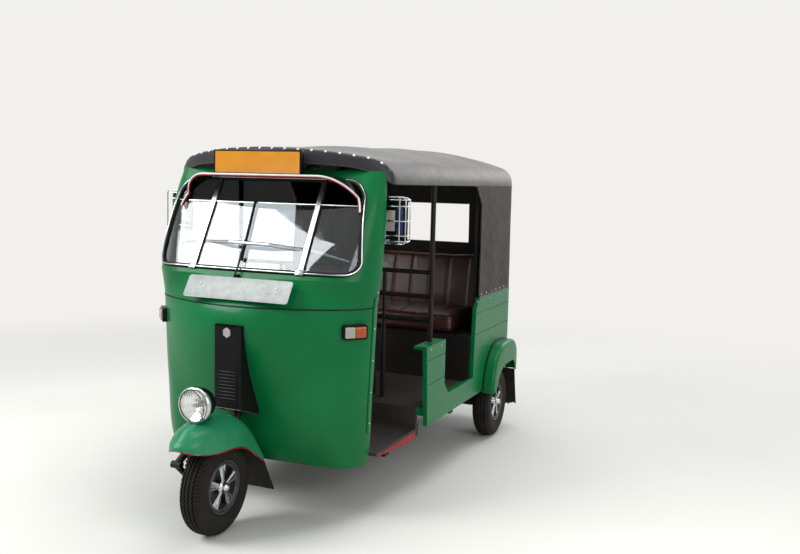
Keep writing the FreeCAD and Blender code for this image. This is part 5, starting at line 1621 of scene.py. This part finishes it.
    def loops(self, bm: BMesh) -> list[list[Vector]]:
        """Follow every free edge of the cloth.

        Args:
            bm: The cloth.

        Returns:
            Each closed edge as its points in order.
        """
        left = dict.fromkeys(e for e in bm.edges if e.is_boundary)
        found = []
        while left:
            edge = next(iter(left))
            del left[edge]
            start, here = edge.verts
            path = [start.co.copy(), here.co.copy()]
            while here is not start:
                ahead = next((e for e in here.link_edges if e in left), None)
                if ahead is None:
                    break
                del left[ahead]
                here = ahead.other_vert(here)
                path.append(here.co.copy())
            if len(path) > 8:
                found.append(path[:-1])
        return found

    def bind(self, bm: BMesh) -> BMesh:
        """Sew a rolled binding on every free edge."""
        bindings = bmesh.new()
        for path in self.loops(bm):
            absorb(bindings, tube(thinned(path, 0.012), 0.0042, closed=True, sides=8))
        return bindings

    def crest(self) -> list[Vector]:
        """List the stud places along the front crest."""
        low, least, high = self.crest_z
        places, last = [], None
        for i in range(-400, 401):
            x = self.crest_half * i / 400.0
            y = self.front_y - math.sqrt(self.front_r ** 2 - x * x)
            p = Vector((x, y, seek(lambda z: self.across(Vector((x, y, z))) > 0.0, low, high)))
            if p.z < least:
                continue
            if last is None or (p - last).length >= self.stud_gap:
                places.append(p)
                last = p
        return places

    def studs(self) -> BMesh:
        """Set white press studs on the crest and along the curtains' lower edges."""
        bm = bmesh.new()
        for p in self.crest():
            inward = Vector((-p.x * 0.4, 1.0, -0.6)).normalized()
            place = self.project(p + inward * 0.006)
            facing = Vector((p.x * 0.8, -0.75, 0.65)).normalized()
            absorb(bm, dome(place - facing * 0.004, facing, *self.stud))
        low = self.foot_z + 0.016
        for s in SIDES:
            for i in range(6):
                place = self.project(Vector((s * 0.70, 0.650 + 0.094 * i, low)))
                place.z = low
                absorb(bm, dome(place - Vector((s * 0.004, 0, 0)), Vector((s, 0.0, 0.0)), *self.stud))
        for i in range(11):
            absorb(bm, dome(Vector((-0.48 + 0.096 * i, 1.2895, low)), Vector(BACK), *self.stud))
        return bm

    def build(self) -> None:
        """Build the cloth with its bindings and studs."""
        bm = self.shell()
        self.drape(bm)
        area = sum(f.calc_area() for f in bm.faces)
        bindings = self.bind(bm)
        for f in bm.faces:
            place = f.calc_center_median()
            if self.is_front(place + f.normal * 0.004):
                f.material_index = 1
            # Faces low on the sides and back take the darker curtain copy of the cloth: painted shade.
            elif place.z < self.edge_z and place.y > 0.5:
                f.material_index = 2
        thickened(bm, self.cloth)
        edge = finished("hood_edge_binding", bindings, BINDING_VINYL, "body")
        studs = finished("hood_press_studs", self.studs(), WHITE_ENAMEL, "body")
        cloth = finished("hood_cloth", bm, [HOOD_VINYL, VALANCE_VINYL, CURTAIN_PAINTED_SHADE_VINYL], "body",
                         ["hood"], sharp=55.0)


@dataclass
class Pad:
    """One stuffed seat part: a swollen cover with sewn channels and piping."""

    name: str
    node: str
    low: tuple[float, float, float]
    high: tuple[float, float, float]
    edge: float
    voxel: float
    swell: float
    channel_gap: float
    top_axis: int
    lean: float = 0.0
    origin: tuple[float, float, float] = (0.0, 0.0, 0.0)

    def remeshed(self) -> bpy.types.Object:
        """Make the even mesh that the cover is blown up from."""
        slack = self.swell * 0.85
        low, high = Vector(self.low) + Vector((slack,) * 3), Vector(self.high) - Vector((slack,) * 3)
        up = abs(self.top_axis) - 1
        if self.top_axis > 0:
            low[up] = self.low[up] + 0.002
        else:
            high[up] = self.high[up] - 0.002
        start = put("pad_start", meshed("pad_start", block(low, high, self.edge, 4)))
        grid = start.modifiers.new("grid", "REMESH")
        grid.mode = "VOXEL"
        grid.voxel_size = self.voxel
        done = bpy.data.meshes.new_from_object(start.evaluated_get(bpy.context.evaluated_depsgraph_get()))
        bpy.data.objects.remove(start)
        return put("pad_even", done)

    def blow(self, even: bpy.types.Object) -> list[Vector]:
        """Swell the cover as cloth under pressure, each point by no more than the cap.

        Args:
            even: The even mesh.

        Returns:
            The swollen points.
        """
        rest = [v.co.copy() for v in even.data.vertices]
        cloth = even.modifiers.new("cover", "CLOTH")
        cloth.settings.use_pressure = True
        cloth.settings.uniform_pressure_force = 4.0
        cloth.settings.effector_weights.gravity = 0.0
        cloth.point_cache.frame_start = 1
        cloth.point_cache.frame_end = 20
        scene = bpy.context.scene
        for step in range(1, 21):
            scene.frame_set(step)
        swollen = even.evaluated_get(bpy.context.evaluated_depsgraph_get()).data
        moved = [v.co.copy() for v in swollen.vertices]
        scene.frame_set(1)
        even.modifiers.remove(cloth)
        reach = sorted((b - a).length for a, b in zip(rest, moved))[int(len(rest) * 0.96)]
        share = min(1.0, self.swell / max(reach, 1e-9))
        return [a + (b - a) * share for a, b in zip(rest, moved)]

    def sewn(self, points: list[Vector]) -> list[Vector]:
        """Sink the sewn channels and keep the cover inside its space.

        Args:
            points: The swollen points.

        Returns:
            The finished points.
        """
        low, high = Vector(self.low), Vector(self.high)
        middle = (low.x + high.x) / 2.0
        span = (high.x - low.x) / 2.0
        face = high if self.top_axis > 0 else low
        up = abs(self.top_axis) - 1
        for p in points:
            for i in range(3):
                p[i] = min(max(p[i], low[i] + 0.0004), high[i] - 0.0004)
            off = p.x - middle
            if abs(off) > span - self.channel_gap * 0.4:
                continue
            near = abs((off / self.channel_gap + 0.5) % 1.0 - 0.5) * self.channel_gap
            depth = 0.0085 * math.exp(-(near / 0.0065) ** 2) - 0.0022 * (1.0 - math.exp(-(near / 0.02) ** 2))
            exposed = max(0.0, 1.0 - abs(p[up] - face[up]) / 0.035)
            p[up] -= math.copysign(max(depth, 0.0) * exposed, self.top_axis)
        return points

    def piping(self, points: list[Vector], faces: Sequence[Sequence[int]]) -> BMesh:
        """Run piping round the cover's upper and lower seams.

        Args:
            points: The cover's points.
            faces: Its faces.

        Returns:
            The piping.
        """
        tree = BVHTree.FromPolygons(points, faces)
        low, high = Vector(self.low), Vector(self.high)
        middle = (low + high) / 2.0
        up = abs(self.top_axis) - 1
        i, j = [k for k in range(3) if k != up]
        bm = bmesh.new()
        for share in (0.20, 0.80):
            level = low[up] + (high[up] - low[up]) * share
            path = []
            for a, b in oblong(high[i] - low[i] + 0.02, high[j] - low[j] + 0.02, self.edge, 10):
                p = Vector((0.0, 0.0, 0.0))
                p[i], p[j], p[up] = middle[i] + a, middle[j] + b, level
                path.append(tree.find_nearest(p)[0])
            full = []
            for a, b in zip(path, path[1:] + path[:1]):
                count = max(1, int((b - a).length / 0.03))
                full += [tree.find_nearest(a.lerp(b, t / count))[0] for t in range(count)]
            absorb(bm, tube(thinned(full, 0.006), 0.0034, closed=True, sides=8))
        return bm

    def build(self) -> None:
        """Build the cover and its piping."""
        even = self.remeshed()
        points = self.sewn(self.blow(even))
        faces = [tuple(f.vertices) for f in even.data.polygons]
        pipe = self.piping(points, faces)
        bm = bmesh.new()
        bm.from_mesh(even.data)
        bm.verts.ensure_lookup_table()
        for v, p in zip(bm.verts, points):
            v.co = p
        bpy.data.objects.remove(even)
        turn = Matrix.Translation(self.origin) @ Matrix.Rotation(-self.lean, 4, "X")
        for one in (bm, pipe):
            bmesh.ops.transform(one, matrix=turn, verts=one.verts)
        cover = finished(self.name + "_cover", bm, SEAT_VINYL, "body", [self.node], sharp=180.0)
        smooth = cover.modifiers.new("smooth", "SUBSURF")
        smooth.levels = smooth.render_levels = 1
        finished(self.name + "_piping", pipe, PIPING_VINYL, "body")


@dataclass
class Seats:
    """The driver's seat and the passenger bench.

    A row gives a pad's name, node, edge radius, voxel, swell, channel gap and upward axis.
    """

    rows: tuple[tuple, ...] = (
        ("driver_seat", "driver_seat", 0.026, 0.0075, 0.016, 0.09, 3),
        ("driver_back", "driver_backrest", 0.022, 0.0075, 0.014, 0.09, -2),
        ("bench_seat", "passenger_seat", 0.032, 0.0095, 0.020, 0.12, 3))

    def build(self) -> None:
        """Build the four pads."""
        for name, node, edge, voxel, swell, gap, top_axis in self.rows:
            low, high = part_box(node)
            Pad(name, node, tuple(low), tuple(high), edge, voxel, swell, gap, top_axis).build()
        Pad("bench_back", "passenger_backrest", (-0.48, 0.0, 0.0), (0.48, 0.095, 0.43),
            0.030, 0.0095, 0.018, 0.12,
            -2, math.radians(10.0), (0.0, 1.034, 0.66736)).build()


@dataclass
class Bodywork:
    """The seam under the screen band, the strips at the doors' edges and the screws."""

    seam_z: float = 0.9545
    body_half: float = 0.600
    door_y: float = -0.6385
    screw_zs: tuple[float, ...] = (0.44, 0.58, 0.72, 0.86, 1.02)
    side_screws: tuple[tuple[float, float], ...] = (
        (0.58, 0.845), (0.80, 0.845), (1.02, 0.845), (1.16, 0.845), (-0.12, 0.69), (0.02, 0.69))

    def seam(self) -> None:
        """Lay the dark sealing line between the nose and the screen band."""
        skin = Skin("nose_panel")
        middle = Vector((0.0, -0.600, self.seam_z - 0.003))
        path = []
        for i in range(-64, 65):
            angle = math.radians(1.33 * i)
            way = Vector((math.sin(angle), -math.cos(angle), 0.0))
            path.append(skin.meet(middle + way * 2.0, -way, -0.0006)[0] + Vector((0.0, 0.0, 0.003)))
        finished("nose_seam_sealant", sweep(path_frames(path), circle(0.0031, 8)), GASKET, "body")

    def door_strips(self) -> None:
        """Lay the raised strip down each door edge of the nose."""
        skin = Skin("nose_panel", "screen_surround")
        bm = bmesh.new()
        for s in SIDES:
            path = [skin.meet((s * 1.5, self.door_y, 0.40 + 0.05 * i), (-s, 0.0, 0.0), 0.0006)[0]
                    for i in range(13)]
            frames = path_frames(path, side=Vector(BACK))
            absorb(bm, sweep(frames, oblong(0.034, 0.0052, 0.0022)))
        finished("door_edge_strips", bm, GREEN_ENAMEL, "body")

    def fixings(self) -> None:
        """Set screws and rivets along the panels."""
        bm = bmesh.new()
        sides = Skin("nose_panel", "screen_surround")
        for s in SIDES:
            for z in self.screw_zs:
                place, normal = sides.meet((s * 1.5, self.door_y, z), (-s, 0.0, 0.0), 0.0030)
                absorb(bm, dome(place, normal, 0.0048, 0.0022))
            for y, z in self.side_screws:
                place = Vector((s * self.body_half, y, z))
                absorb(bm, dome(place, Vector((s, 0.0, 0.0)), 0.0048, 0.0022))
        finished("panel_screws", bm, STAINLESS, "body")

    def build(self) -> None:
        """Build every line and fixing."""
        self.seam()
        self.door_strips()
        self.fixings()


@dataclass
class ColumnCover:
    """Moulded cover down the nose: rounded face, slanted chin, louvres and a bare badge."""

    front_y: float = -0.972
    front_half: float = 0.065
    corner: float = 0.014
    low: tuple[float, float, float] = (0.440, 0.104, -0.770)
    top: tuple[float, float, float] = (0.878, 0.080, -0.880)
    chin: tuple[float, float, float] = (-0.990, 0.5245, -0.358)
    wall: float = 0.004
    louvre_half: float = 0.042
    louvre_z: float = 0.5560
    louvre_pitch: float = 0.0145
    louvre_height: float = 0.006
    louvres: int = 9
    badge: tuple[float, float, float] = (0.846, 0.0205, 0.0225)
    levels: tuple[float, ...] = (
        0.470, 0.490, 0.505, 0.518, 0.532, 0.545, 0.700, 0.730, 0.760, 0.790, 0.820, 0.850, 0.878)

    def __post_init__(self) -> None:
        """Find the nose and the louvres' lower edges."""
        self.nose = Skin("nose_panel")
        self.slots = [self.louvre_z + self.louvre_pitch * i for i in range(self.louvres)]

    def flank(self, z: float) -> tuple[float, float]:
        """Give the half width and the y of the cover's foot at height z."""
        (z0, h0, y0), (z1, h1, y1) = self.low, self.top
        share = (z - z0) / (z1 - z0)
        return h0 + (h1 - h0) * share, y0 + (y1 - y0) * share

    def row(self, z: float) -> list[Vector]:
        """List the cover's section near height z.

        Args:
            z: The height on the front face.

        Returns:
            Points from foot to foot, lower ones lifted to the chin's slant.
        """
        half, foot_y = self.flank(z)
        way = Vector((half - self.front_half, foot_y - self.front_y, 0.0)).normalized()
        start = Vector((self.front_half, self.front_y, z))
        level = max(z, 0.50)
        hit = self.nose.meet(Vector((self.front_half, self.front_y, level)), way)[0]
        run = (Vector((hit.x, hit.y, z)) - start).length
        points = [Vector((x, self.front_y, z))
                  for x in (0.0, self.louvre_half, self.front_half - self.corner)]
        points += [start + Vector((-self.corner * 0.30, self.corner * 0.05, 0.0)),
                   start + way * self.corner * 0.5]
        points += [start + way * (self.corner + (run - self.corner) * t / 4.0) for t in range(5)]
        y0, z0, slope = self.chin
        for p in points:
            p.z = max(p.z, z0 + slope * (p.y - y0))
        return both_halves(points)

    def shell(self) -> BMesh:
        """Make the cover's walls, with the louvres pressed in."""
        high = self.louvre_height
        levels = sorted(self.levels + tuple(self.slots) + tuple(z + high for z in self.slots))
        bm = tidy(skinned([self.row(z) for z in levels], closed=False), 0.0002)
        cuts = [f for f in bm.faces if abs(f.calc_center_median().x) < self.louvre_half
                and f.calc_center_median().y < self.front_y + 0.001
                and any(z < f.calc_center_median().z < z + high for z in self.slots)]
        bm.normal_update()
        inward = 1.0 if cuts[0].normal.y < 0.0 else -1.0
        bmesh.ops.inset_region(bm, faces=cuts, thickness=0.0008, depth=-0.0035 * inward)
        return bm

    def cap(self) -> BMesh:
        """Close the cover's top."""
        row = self.row(self.top[0])
        row += [row[-1] + Vector((0.0, 0.03, 0.0)), row[0] + Vector((0.0, 0.03, 0.0))]
        return slab(row, (0.0, 0.0, -self.wall))

    def trim(self) -> None:
        """Lay the louvres' rubbed edges, the pale lip and the bare badge."""
        edges = bmesh.new()
        for low in self.slots:
            z = low + 0.0066
            absorb(edges, block((-self.louvre_half, self.front_y - 0.0012, z - 0.0012),
                                (self.louvre_half, self.front_y + 0.0020, z + 0.0012), 0.0007, 1))
        y0, z0, slope = self.chin
        path = self.row(0.505)
        for p in path:
            p.z = z0 + slope * (p.y - y0) + 0.001
        absorb(edges, tube(thinned(path, 0.002), 0.0020, sides=8))
        finished("cover_louvre_edges", edges, LOUVRE_GREY, "body")
        z, across, high = self.badge
        outline = [(across * math.sin(TURN * t / 6.0), high * math.cos(TURN * t / 6.0)) for t in range(6)]
        upright = Matrix.Rotation(math.radians(90.0), 4, "X")
        frames = [Matrix.Translation((0.0, self.front_y + y, z)) @ upright for y in (0.001, -0.0020)]
        finished("bare_shield", sweep(frames, outline), STAINLESS, "body", smooth=False)

    def build(self) -> None:
        """Build the cover."""
        bm = thickened(self.shell(), self.wall)
        absorb(bm, self.cap())
        bmesh.ops.recalc_face_normals(bm, faces=bm.faces)
        finished("moulded_column_cover", bm, BLACK_MOULDING, "body", ["column_cover"],
                 sharp=30.0)
        self.trim()


@dataclass
class RearGuards:
    """Pressed rear guards, their beading, the housings inside and the torn flaps."""

    arch: tuple[float, float, float, float, float] = (0.720, 1.200, 0.565, 0.245, 0.110)
    opening: tuple[float, float, float, float, float] = (0.768, 1.155, 0.437, 0.197, 0.065)
    hole: tuple[float, float, float] = (0.982, 0.306, 0.2668)
    front_low: float = 0.302
    rear_low: float = 0.366
    body_half: float = 0.600
    face_x: float = 0.6675
    shoulder: float = 0.020
    wall: float = 0.004
    corner_steps: int = 14
    filler_low: float = 0.318
    filler_x: tuple[float, float] = (0.5996, 0.5920)
    house_x: tuple[float, float] = (0.462, 0.5915)
    house_insets: tuple[float, float] = (0.0145, 0.018)
    house_low: float = 0.262
    flap_x: tuple[float, float] = (0.540, 0.655)
    flap_z: tuple[float, float] = (0.128, 0.364)
    flap_y: float = 1.191

    def outline(self, form: Sequence[float], low: tuple[float, float]) -> list[tuple[float, float]]:
        """List points round an arch with two unlike corners.

        Args:
            form: Its front y, rear y, top z, front radius and rear radius.
            low: Where its front and rear legs end.

        Returns:
            Points as y and z, from the front foot to the rear foot.
        """
        front, rear, top, r0, r1 = form
        steps = self.corner_steps
        points = [(front, low[0] + (top - r0 - low[0]) * t / 4.0) for t in range(4)]
        for t in range(steps + 1):
            angle = TURN * t / steps / 4.0
            points.append((front + r0 - r0 * math.cos(angle), top - r0 + r0 * math.sin(angle)))
        points += [(front + r0 + (rear - r1 - front - r0) * t / 4.0, top) for t in range(1, 4)]
        for t in range(steps + 1):
            angle = TURN * t / steps / 4.0
            points.append((rear - r1 + r1 * math.sin(angle), top - r1 + r1 * math.cos(angle)))
        foot = top - r1
        return points + [(rear, foot + (low[1] - foot) * t / 4.0) for t in range(1, 5)]

    def inset(self, form: Sequence[float], by: float) -> tuple[float, ...]:
        """Pull an arch form inwards."""
        return (form[0] + by, form[1] - by, form[2] - by, form[3] - by, form[4] - by)

    def guard(self) -> BMesh:
        """Press one guard with its round shoulder."""
        low = (self.front_low, self.rear_low)
        r, wall = self.shoulder, self.wall
        insets = [(self.body_half, 0.0), (self.face_x - r, 0.0)]
        insets += [(self.face_x - r + r * math.sin(TURN * t / 20.0), r - r * math.cos(TURN * t / 20.0))
                   for t in range(1, 6)]
        back = [(x - wall if x > self.body_half + 0.001 else x, d + wall) for x, d in reversed(insets)]
        edge = self.outline(self.opening, low)
        outer = {d: self.outline(self.inset(self.arch, d), low) for _, d in insets}
        inner = {d: self.outline(self.inset(self.arch, d), low) for _, d in back}
        rows = []
        for i, (ey, ez) in enumerate(edge):
            row = [Vector((x, *outer[d][i])) for x, d in insets]
            row += [Vector((self.face_x, ey, ez)), Vector((self.face_x - wall, ey, ez))]
            row += [Vector((x, *inner[d][i])) for x, d in back]
            rows.append(row)
        return tidy(skinned(rows))

    def patch(self) -> BMesh:
        """Fill the body's side between its opening and the guard."""
        cy, cz, r = self.hole
        low = self.filler_low
        rows = []
        for y, z in self.outline(self.inset(self.arch, 0.004), (low, low)):
            off = Vector((y - cy, max(z, low) - cz))
            reach = max(r + 0.006, off.length + 0.004)
            far = off.normalized() * reach
            near, outer = (y, z), (cy + far.x, max(cz + far.y, low + 0.0005))
            x0, x1 = self.filler_x
            rows.append([Vector((x, *p)) for x, p in ((x0, near), (x0, outer), (x1, outer), (x1, near))])
        return tidy(skinned(rows))

    def housing(self) -> BMesh:
        """Bend the wheel's sheet housing inside the body."""
        rim, under = (self.inset(self.arch, by) for by in self.house_insets)
        low = (self.filler_low, self.filler_low)
        x0, x1 = self.house_x
        rows = [[Vector((x, *p)) for x, p in ((x0, a), (x1, a), (x1, b), (x0, b))]
                for a, b in zip(self.outline(rim, low), self.outline(under, low))]
        bm = tidy(skinned(rows))
        low = (self.house_low, self.house_low)
        absorb(bm, slab([(x0, y, z) for y, z in self.outline(rim, low)], (self.wall, 0.0, 0.0)))
        return bm

    def flap(self) -> BMesh:
        """Cut one mud flap with a torn lower edge."""
        (x0, x1), (z0, z1) = self.flap_x, self.flap_z
        bm = block((x0, -0.002, 0.0), (x1, 0.002, 1.0))
        sliced(bm, (0.0, 0.0, 0.80), (0.0, 0.0, 1.0))
        for i in range(1, 24):
            sliced(bm, (x0 + (x1 - x0) * i / 24.0, 0.0, 0.0), LEFT)
        for i in range(1, 8):
            sliced(bm, (0.0, 0.0, 0.1 * i), (0.0, 0.0, 1.0))
        for v in bm.verts:
            share = v.co.z
            torn = 0.016 * abs(noise.noise(Vector((v.co.x * 46.0, 0.0, 3.0)))) + 0.010 * (v.co.x > 0.615)
            v.co.z = z0 + torn + (z1 - z0 - torn) * share
            lean = 1.0 - share
            wave = noise.noise(Vector((v.co.x * 18.0, v.co.z * 9.0, 0.0)))
            v.co.y += self.flap_y + 0.030 * lean ** 1.4 + 0.004 * lean * wave
            v.co.x += 0.008 * lean
        return tidy(bm)

    def both(self, name: str, bm: BMesh, finish: Finish, slot: str, replaces: Sequence[str] = ()) -> None:
        """Mirror a left piece and finish the pair."""
        finished(name, paired(bm), finish, "body", replaces, sharp=40.0)

    def build(self) -> None:
        """Build the guards, patches, housings, beading and flaps."""
        self.both("pressed_rear_guards", self.guard(), GREEN_ENAMEL, "body_green", ["rear_mudguards"])
        self.both("arch_fillers", self.patch(), GREEN_ENAMEL, "body_green")
        self.both("wheel_housings", self.housing(), BLACK_ENAMEL, "frame_black")
        path = [Vector((self.body_half + 0.0035, y, z)) for y, z in
                self.outline(self.inset(self.arch, -0.001), (self.front_low + 0.018, self.rear_low + 0.006))]
        self.both("guard_beading", tube(thinned(path, 0.008), 0.0052, sides=10), GASKET, "black_moulding")
        self.both("torn_mud_flaps", self.flap(), FLAP_RUBBER, "flap_rubber", ["rear_mud_flaps"])


@dataclass
class MirrorCage:
    """Bright wire cages with the backs of the mirrors in them."""

    x: tuple[float, float] = (0.501, 0.627)
    z: tuple[float, float] = (1.226, 1.430)
    front_y: float = -0.550
    back_y: float = -0.500
    levels: tuple[float, ...] = (1.390, 1.326, 1.262)
    foot: tuple[float, float, float] = (0.541, -0.600, 1.245)
    wire: float = 0.0030

    def cage(self) -> BMesh:
        """Bend and weld one cage for the left side."""
        (x0, x1), (z0, z1), y, back = self.x, self.z, self.front_y, self.back_y
        bm = bmesh.new()
        for at, low, high in ((y, z0, z1), (back, z0 + 0.004, z1 - 0.004)):
            loop = [(x0, at, low), (x1, at, low), (x1, at, high), (x0, at, high)]
            absorb(bm, tube(rounded_path(loop, 0.020, True), self.wire, True))
        for z in self.levels + (z0 + 0.012, z1 - 0.012):
            hoop = [(x0, back, z), (x0, y - 0.002, z), (x1, y - 0.002, z), (x1, back, z)]
            absorb(bm, tube(rounded_path(hoop, 0.012), self.wire))
        for x in (x0 + 0.030, x1 - 0.030):
            absorb(bm, tube([Vector((x, y + 0.002, z0)), Vector((x, y + 0.002, z1))], self.wire))
        foot = Vector(self.foot)
        absorb(bm, tube([Vector((foot.x, back, foot.z)), foot + Vector((0.0, 0.003, 0.0))], 0.0055))
        absorb(bm, lathe([(0.0, 0.0), (0.0, 0.011), (0.007, 0.011), (0.007, 0.0)], foot, BACK, 6))
        return bm

    def build(self) -> None:
        """Build the cages and the mirrors on both sides."""
        rivet = dome(Vector((0.540, -0.531, 1.326)), Vector((0.0, -1.0, 0.0)), 0.0065, 0.004)
        rows = (
            ("mirror_cages", self.cage(), CHROME, "bright_trim", ["mirrors"]),
            ("mirror_back_plates", block((0.508, -0.531, 1.280), (0.568, -0.519, 1.372), 0.004),
             BRONZE_PANEL, "bright_trim", ()),
            ("mirror_panel_rivets", rivet, BLACK_MOULDING, "black_moulding", ()),
            ("mirror_blue_strips", block((0.574, -0.533, 1.262), (0.604, -0.514, 1.386), 0.006),
             NAVY_PLASTIC, "black_moulding", ()),
            ("mirror_backs", block((0.506, -0.5175, 1.236), (0.622, -0.5055, 1.420), 0.006),
             BLACK_MOULDING, "black_moulding", ()),
            ("mirror_glasses", block((0.511, -0.5053, 1.242), (0.617, -0.5030, 1.414), 0.001),
             MIRROR_SILVER, "bright_trim", ()))
        for name, bm, finish, slot, replaces in rows:
            finished(name, paired(bm), finish, "body", replaces)


@dataclass
class Cabin:
    """Bright rail behind the windscreen."""

    rail: tuple[tuple[float, float, float], ...] = (
        (0.500, -0.604, 1.100), (0.462, -0.650, 1.130), (0.423, -0.690, 1.150), (0.298, -0.762, 1.190),
        (0.100, -0.800, 1.212), (-0.100, -0.800, 1.216), (-0.328, -0.735, 1.204), (-0.450, -0.664, 1.187),
        (-0.500, -0.604, 1.150))

    def build(self) -> None:
        """Build the rail."""
        finished("screen_hand_rail", tube(rounded_path(self.rail, 0.06), 0.0085), CHROME, "body")


@dataclass
class FrontEnd:
    """The mudguard's rolled edge and the painted highlight down its crown."""

    edge_r: float = 0.0028
    skirt: tuple[tuple[float, float, float], ...] = (
        (0.016, -1.318, 0.425), (0.050, -1.296, 0.413), (0.080, -1.245, 0.400), (0.095, -1.165, 0.388),
        (0.101, -1.060, 0.384), (0.102, -0.980, 0.366), (0.101, -0.915, 0.322), (0.100, -0.865, 0.288),
        (0.099, -0.830, 0.264))

    def rolled_edge(self) -> None:
        """Roll the mudguard's lower edge."""
        tree = Skin("front_mudguard").tree
        left = [tree.find_nearest(Vector(p))[0] for p in reversed(self.skirt)]
        path = left + [Vector((-p.x, p.y, p.z)) for p in reversed(left)]
        # The bead stays inside the CAD box at the guard's tip.
        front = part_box("front_mudguard")[0].y + self.edge_r
        path = [Vector((p.x, max(p.y, front), p.z)) for p in rounded_path(path, 0.03)]
        finished("guard_rolled_edge", tube(path, self.edge_r, sides=10), RED_ENAMEL, "steering")

    def crown_highlight(self) -> None:
        """Lay a painted highlight, pale green with rust chips, down the mudguard's crown."""
        skin = Skin("front_mudguard")
        centre = Vector((0.0, -1.050, 0.205))
        rows = []
        for i in range(25):
            angle = math.radians(6.0 + 42.0 * i / 24.0)
            row = []
            taper = math.sin(math.pi * (i + 0.7) / 25.4) ** 0.5
            for t in (-1.0, -0.5, 0.0, 0.5, 1.0):
                way = Vector((0.0, -math.sin(angle), math.cos(angle)))
                reach = 0.015 * taper * (0.75 + 0.6 * noise.noise(Vector((i * 0.62, t * 3.0, 2.0))))
                start = centre + way * 0.6 + Vector((t * reach, 0.0, 0.0))
                row.append(skin.meet(start, -way, 0.0003)[0])
            rows.append(row)
        # The pale stripe is a painted highlight on the crown; its brown chips are rust.
        bm = thickened(tidy(skinned(rows, closed=False)), 0.0005)
        finished("guard_crown_highlight_and_rust", bm, CROWN_HIGHLIGHT_AND_RUST, "steering")

    def build(self) -> None:
        """Build the edge and the painted crown highlight."""
        self.rolled_edge()
        self.crown_highlight()


def main() -> None:
    """Build the studio and every piece in order."""
    logging.basicConfig(level=logging.INFO, format="%(name)s: %(message)s")
    Studio().build()
    dress_frame()
    assemblies = [
        Windscreen(), Visor(), HeadLamp(), TurnLamps(), Hood(), Seats(), Bodywork(), ColumnCover(),
        RearGuards(), MirrorCage(), Cabin(), FrontEnd(),
        Wheel("front", "front_wheel", 1.0), Wheel("rear_left", "rear_wheel_left", 1.0),
        Wheel("rear_right", "rear_wheel_right", -1.0),
    ]
    for assembly in assemblies:
        assembly.build()
        LOG.info("built %s", type(assembly).__name__)


if __name__ == "__main__":
    main()
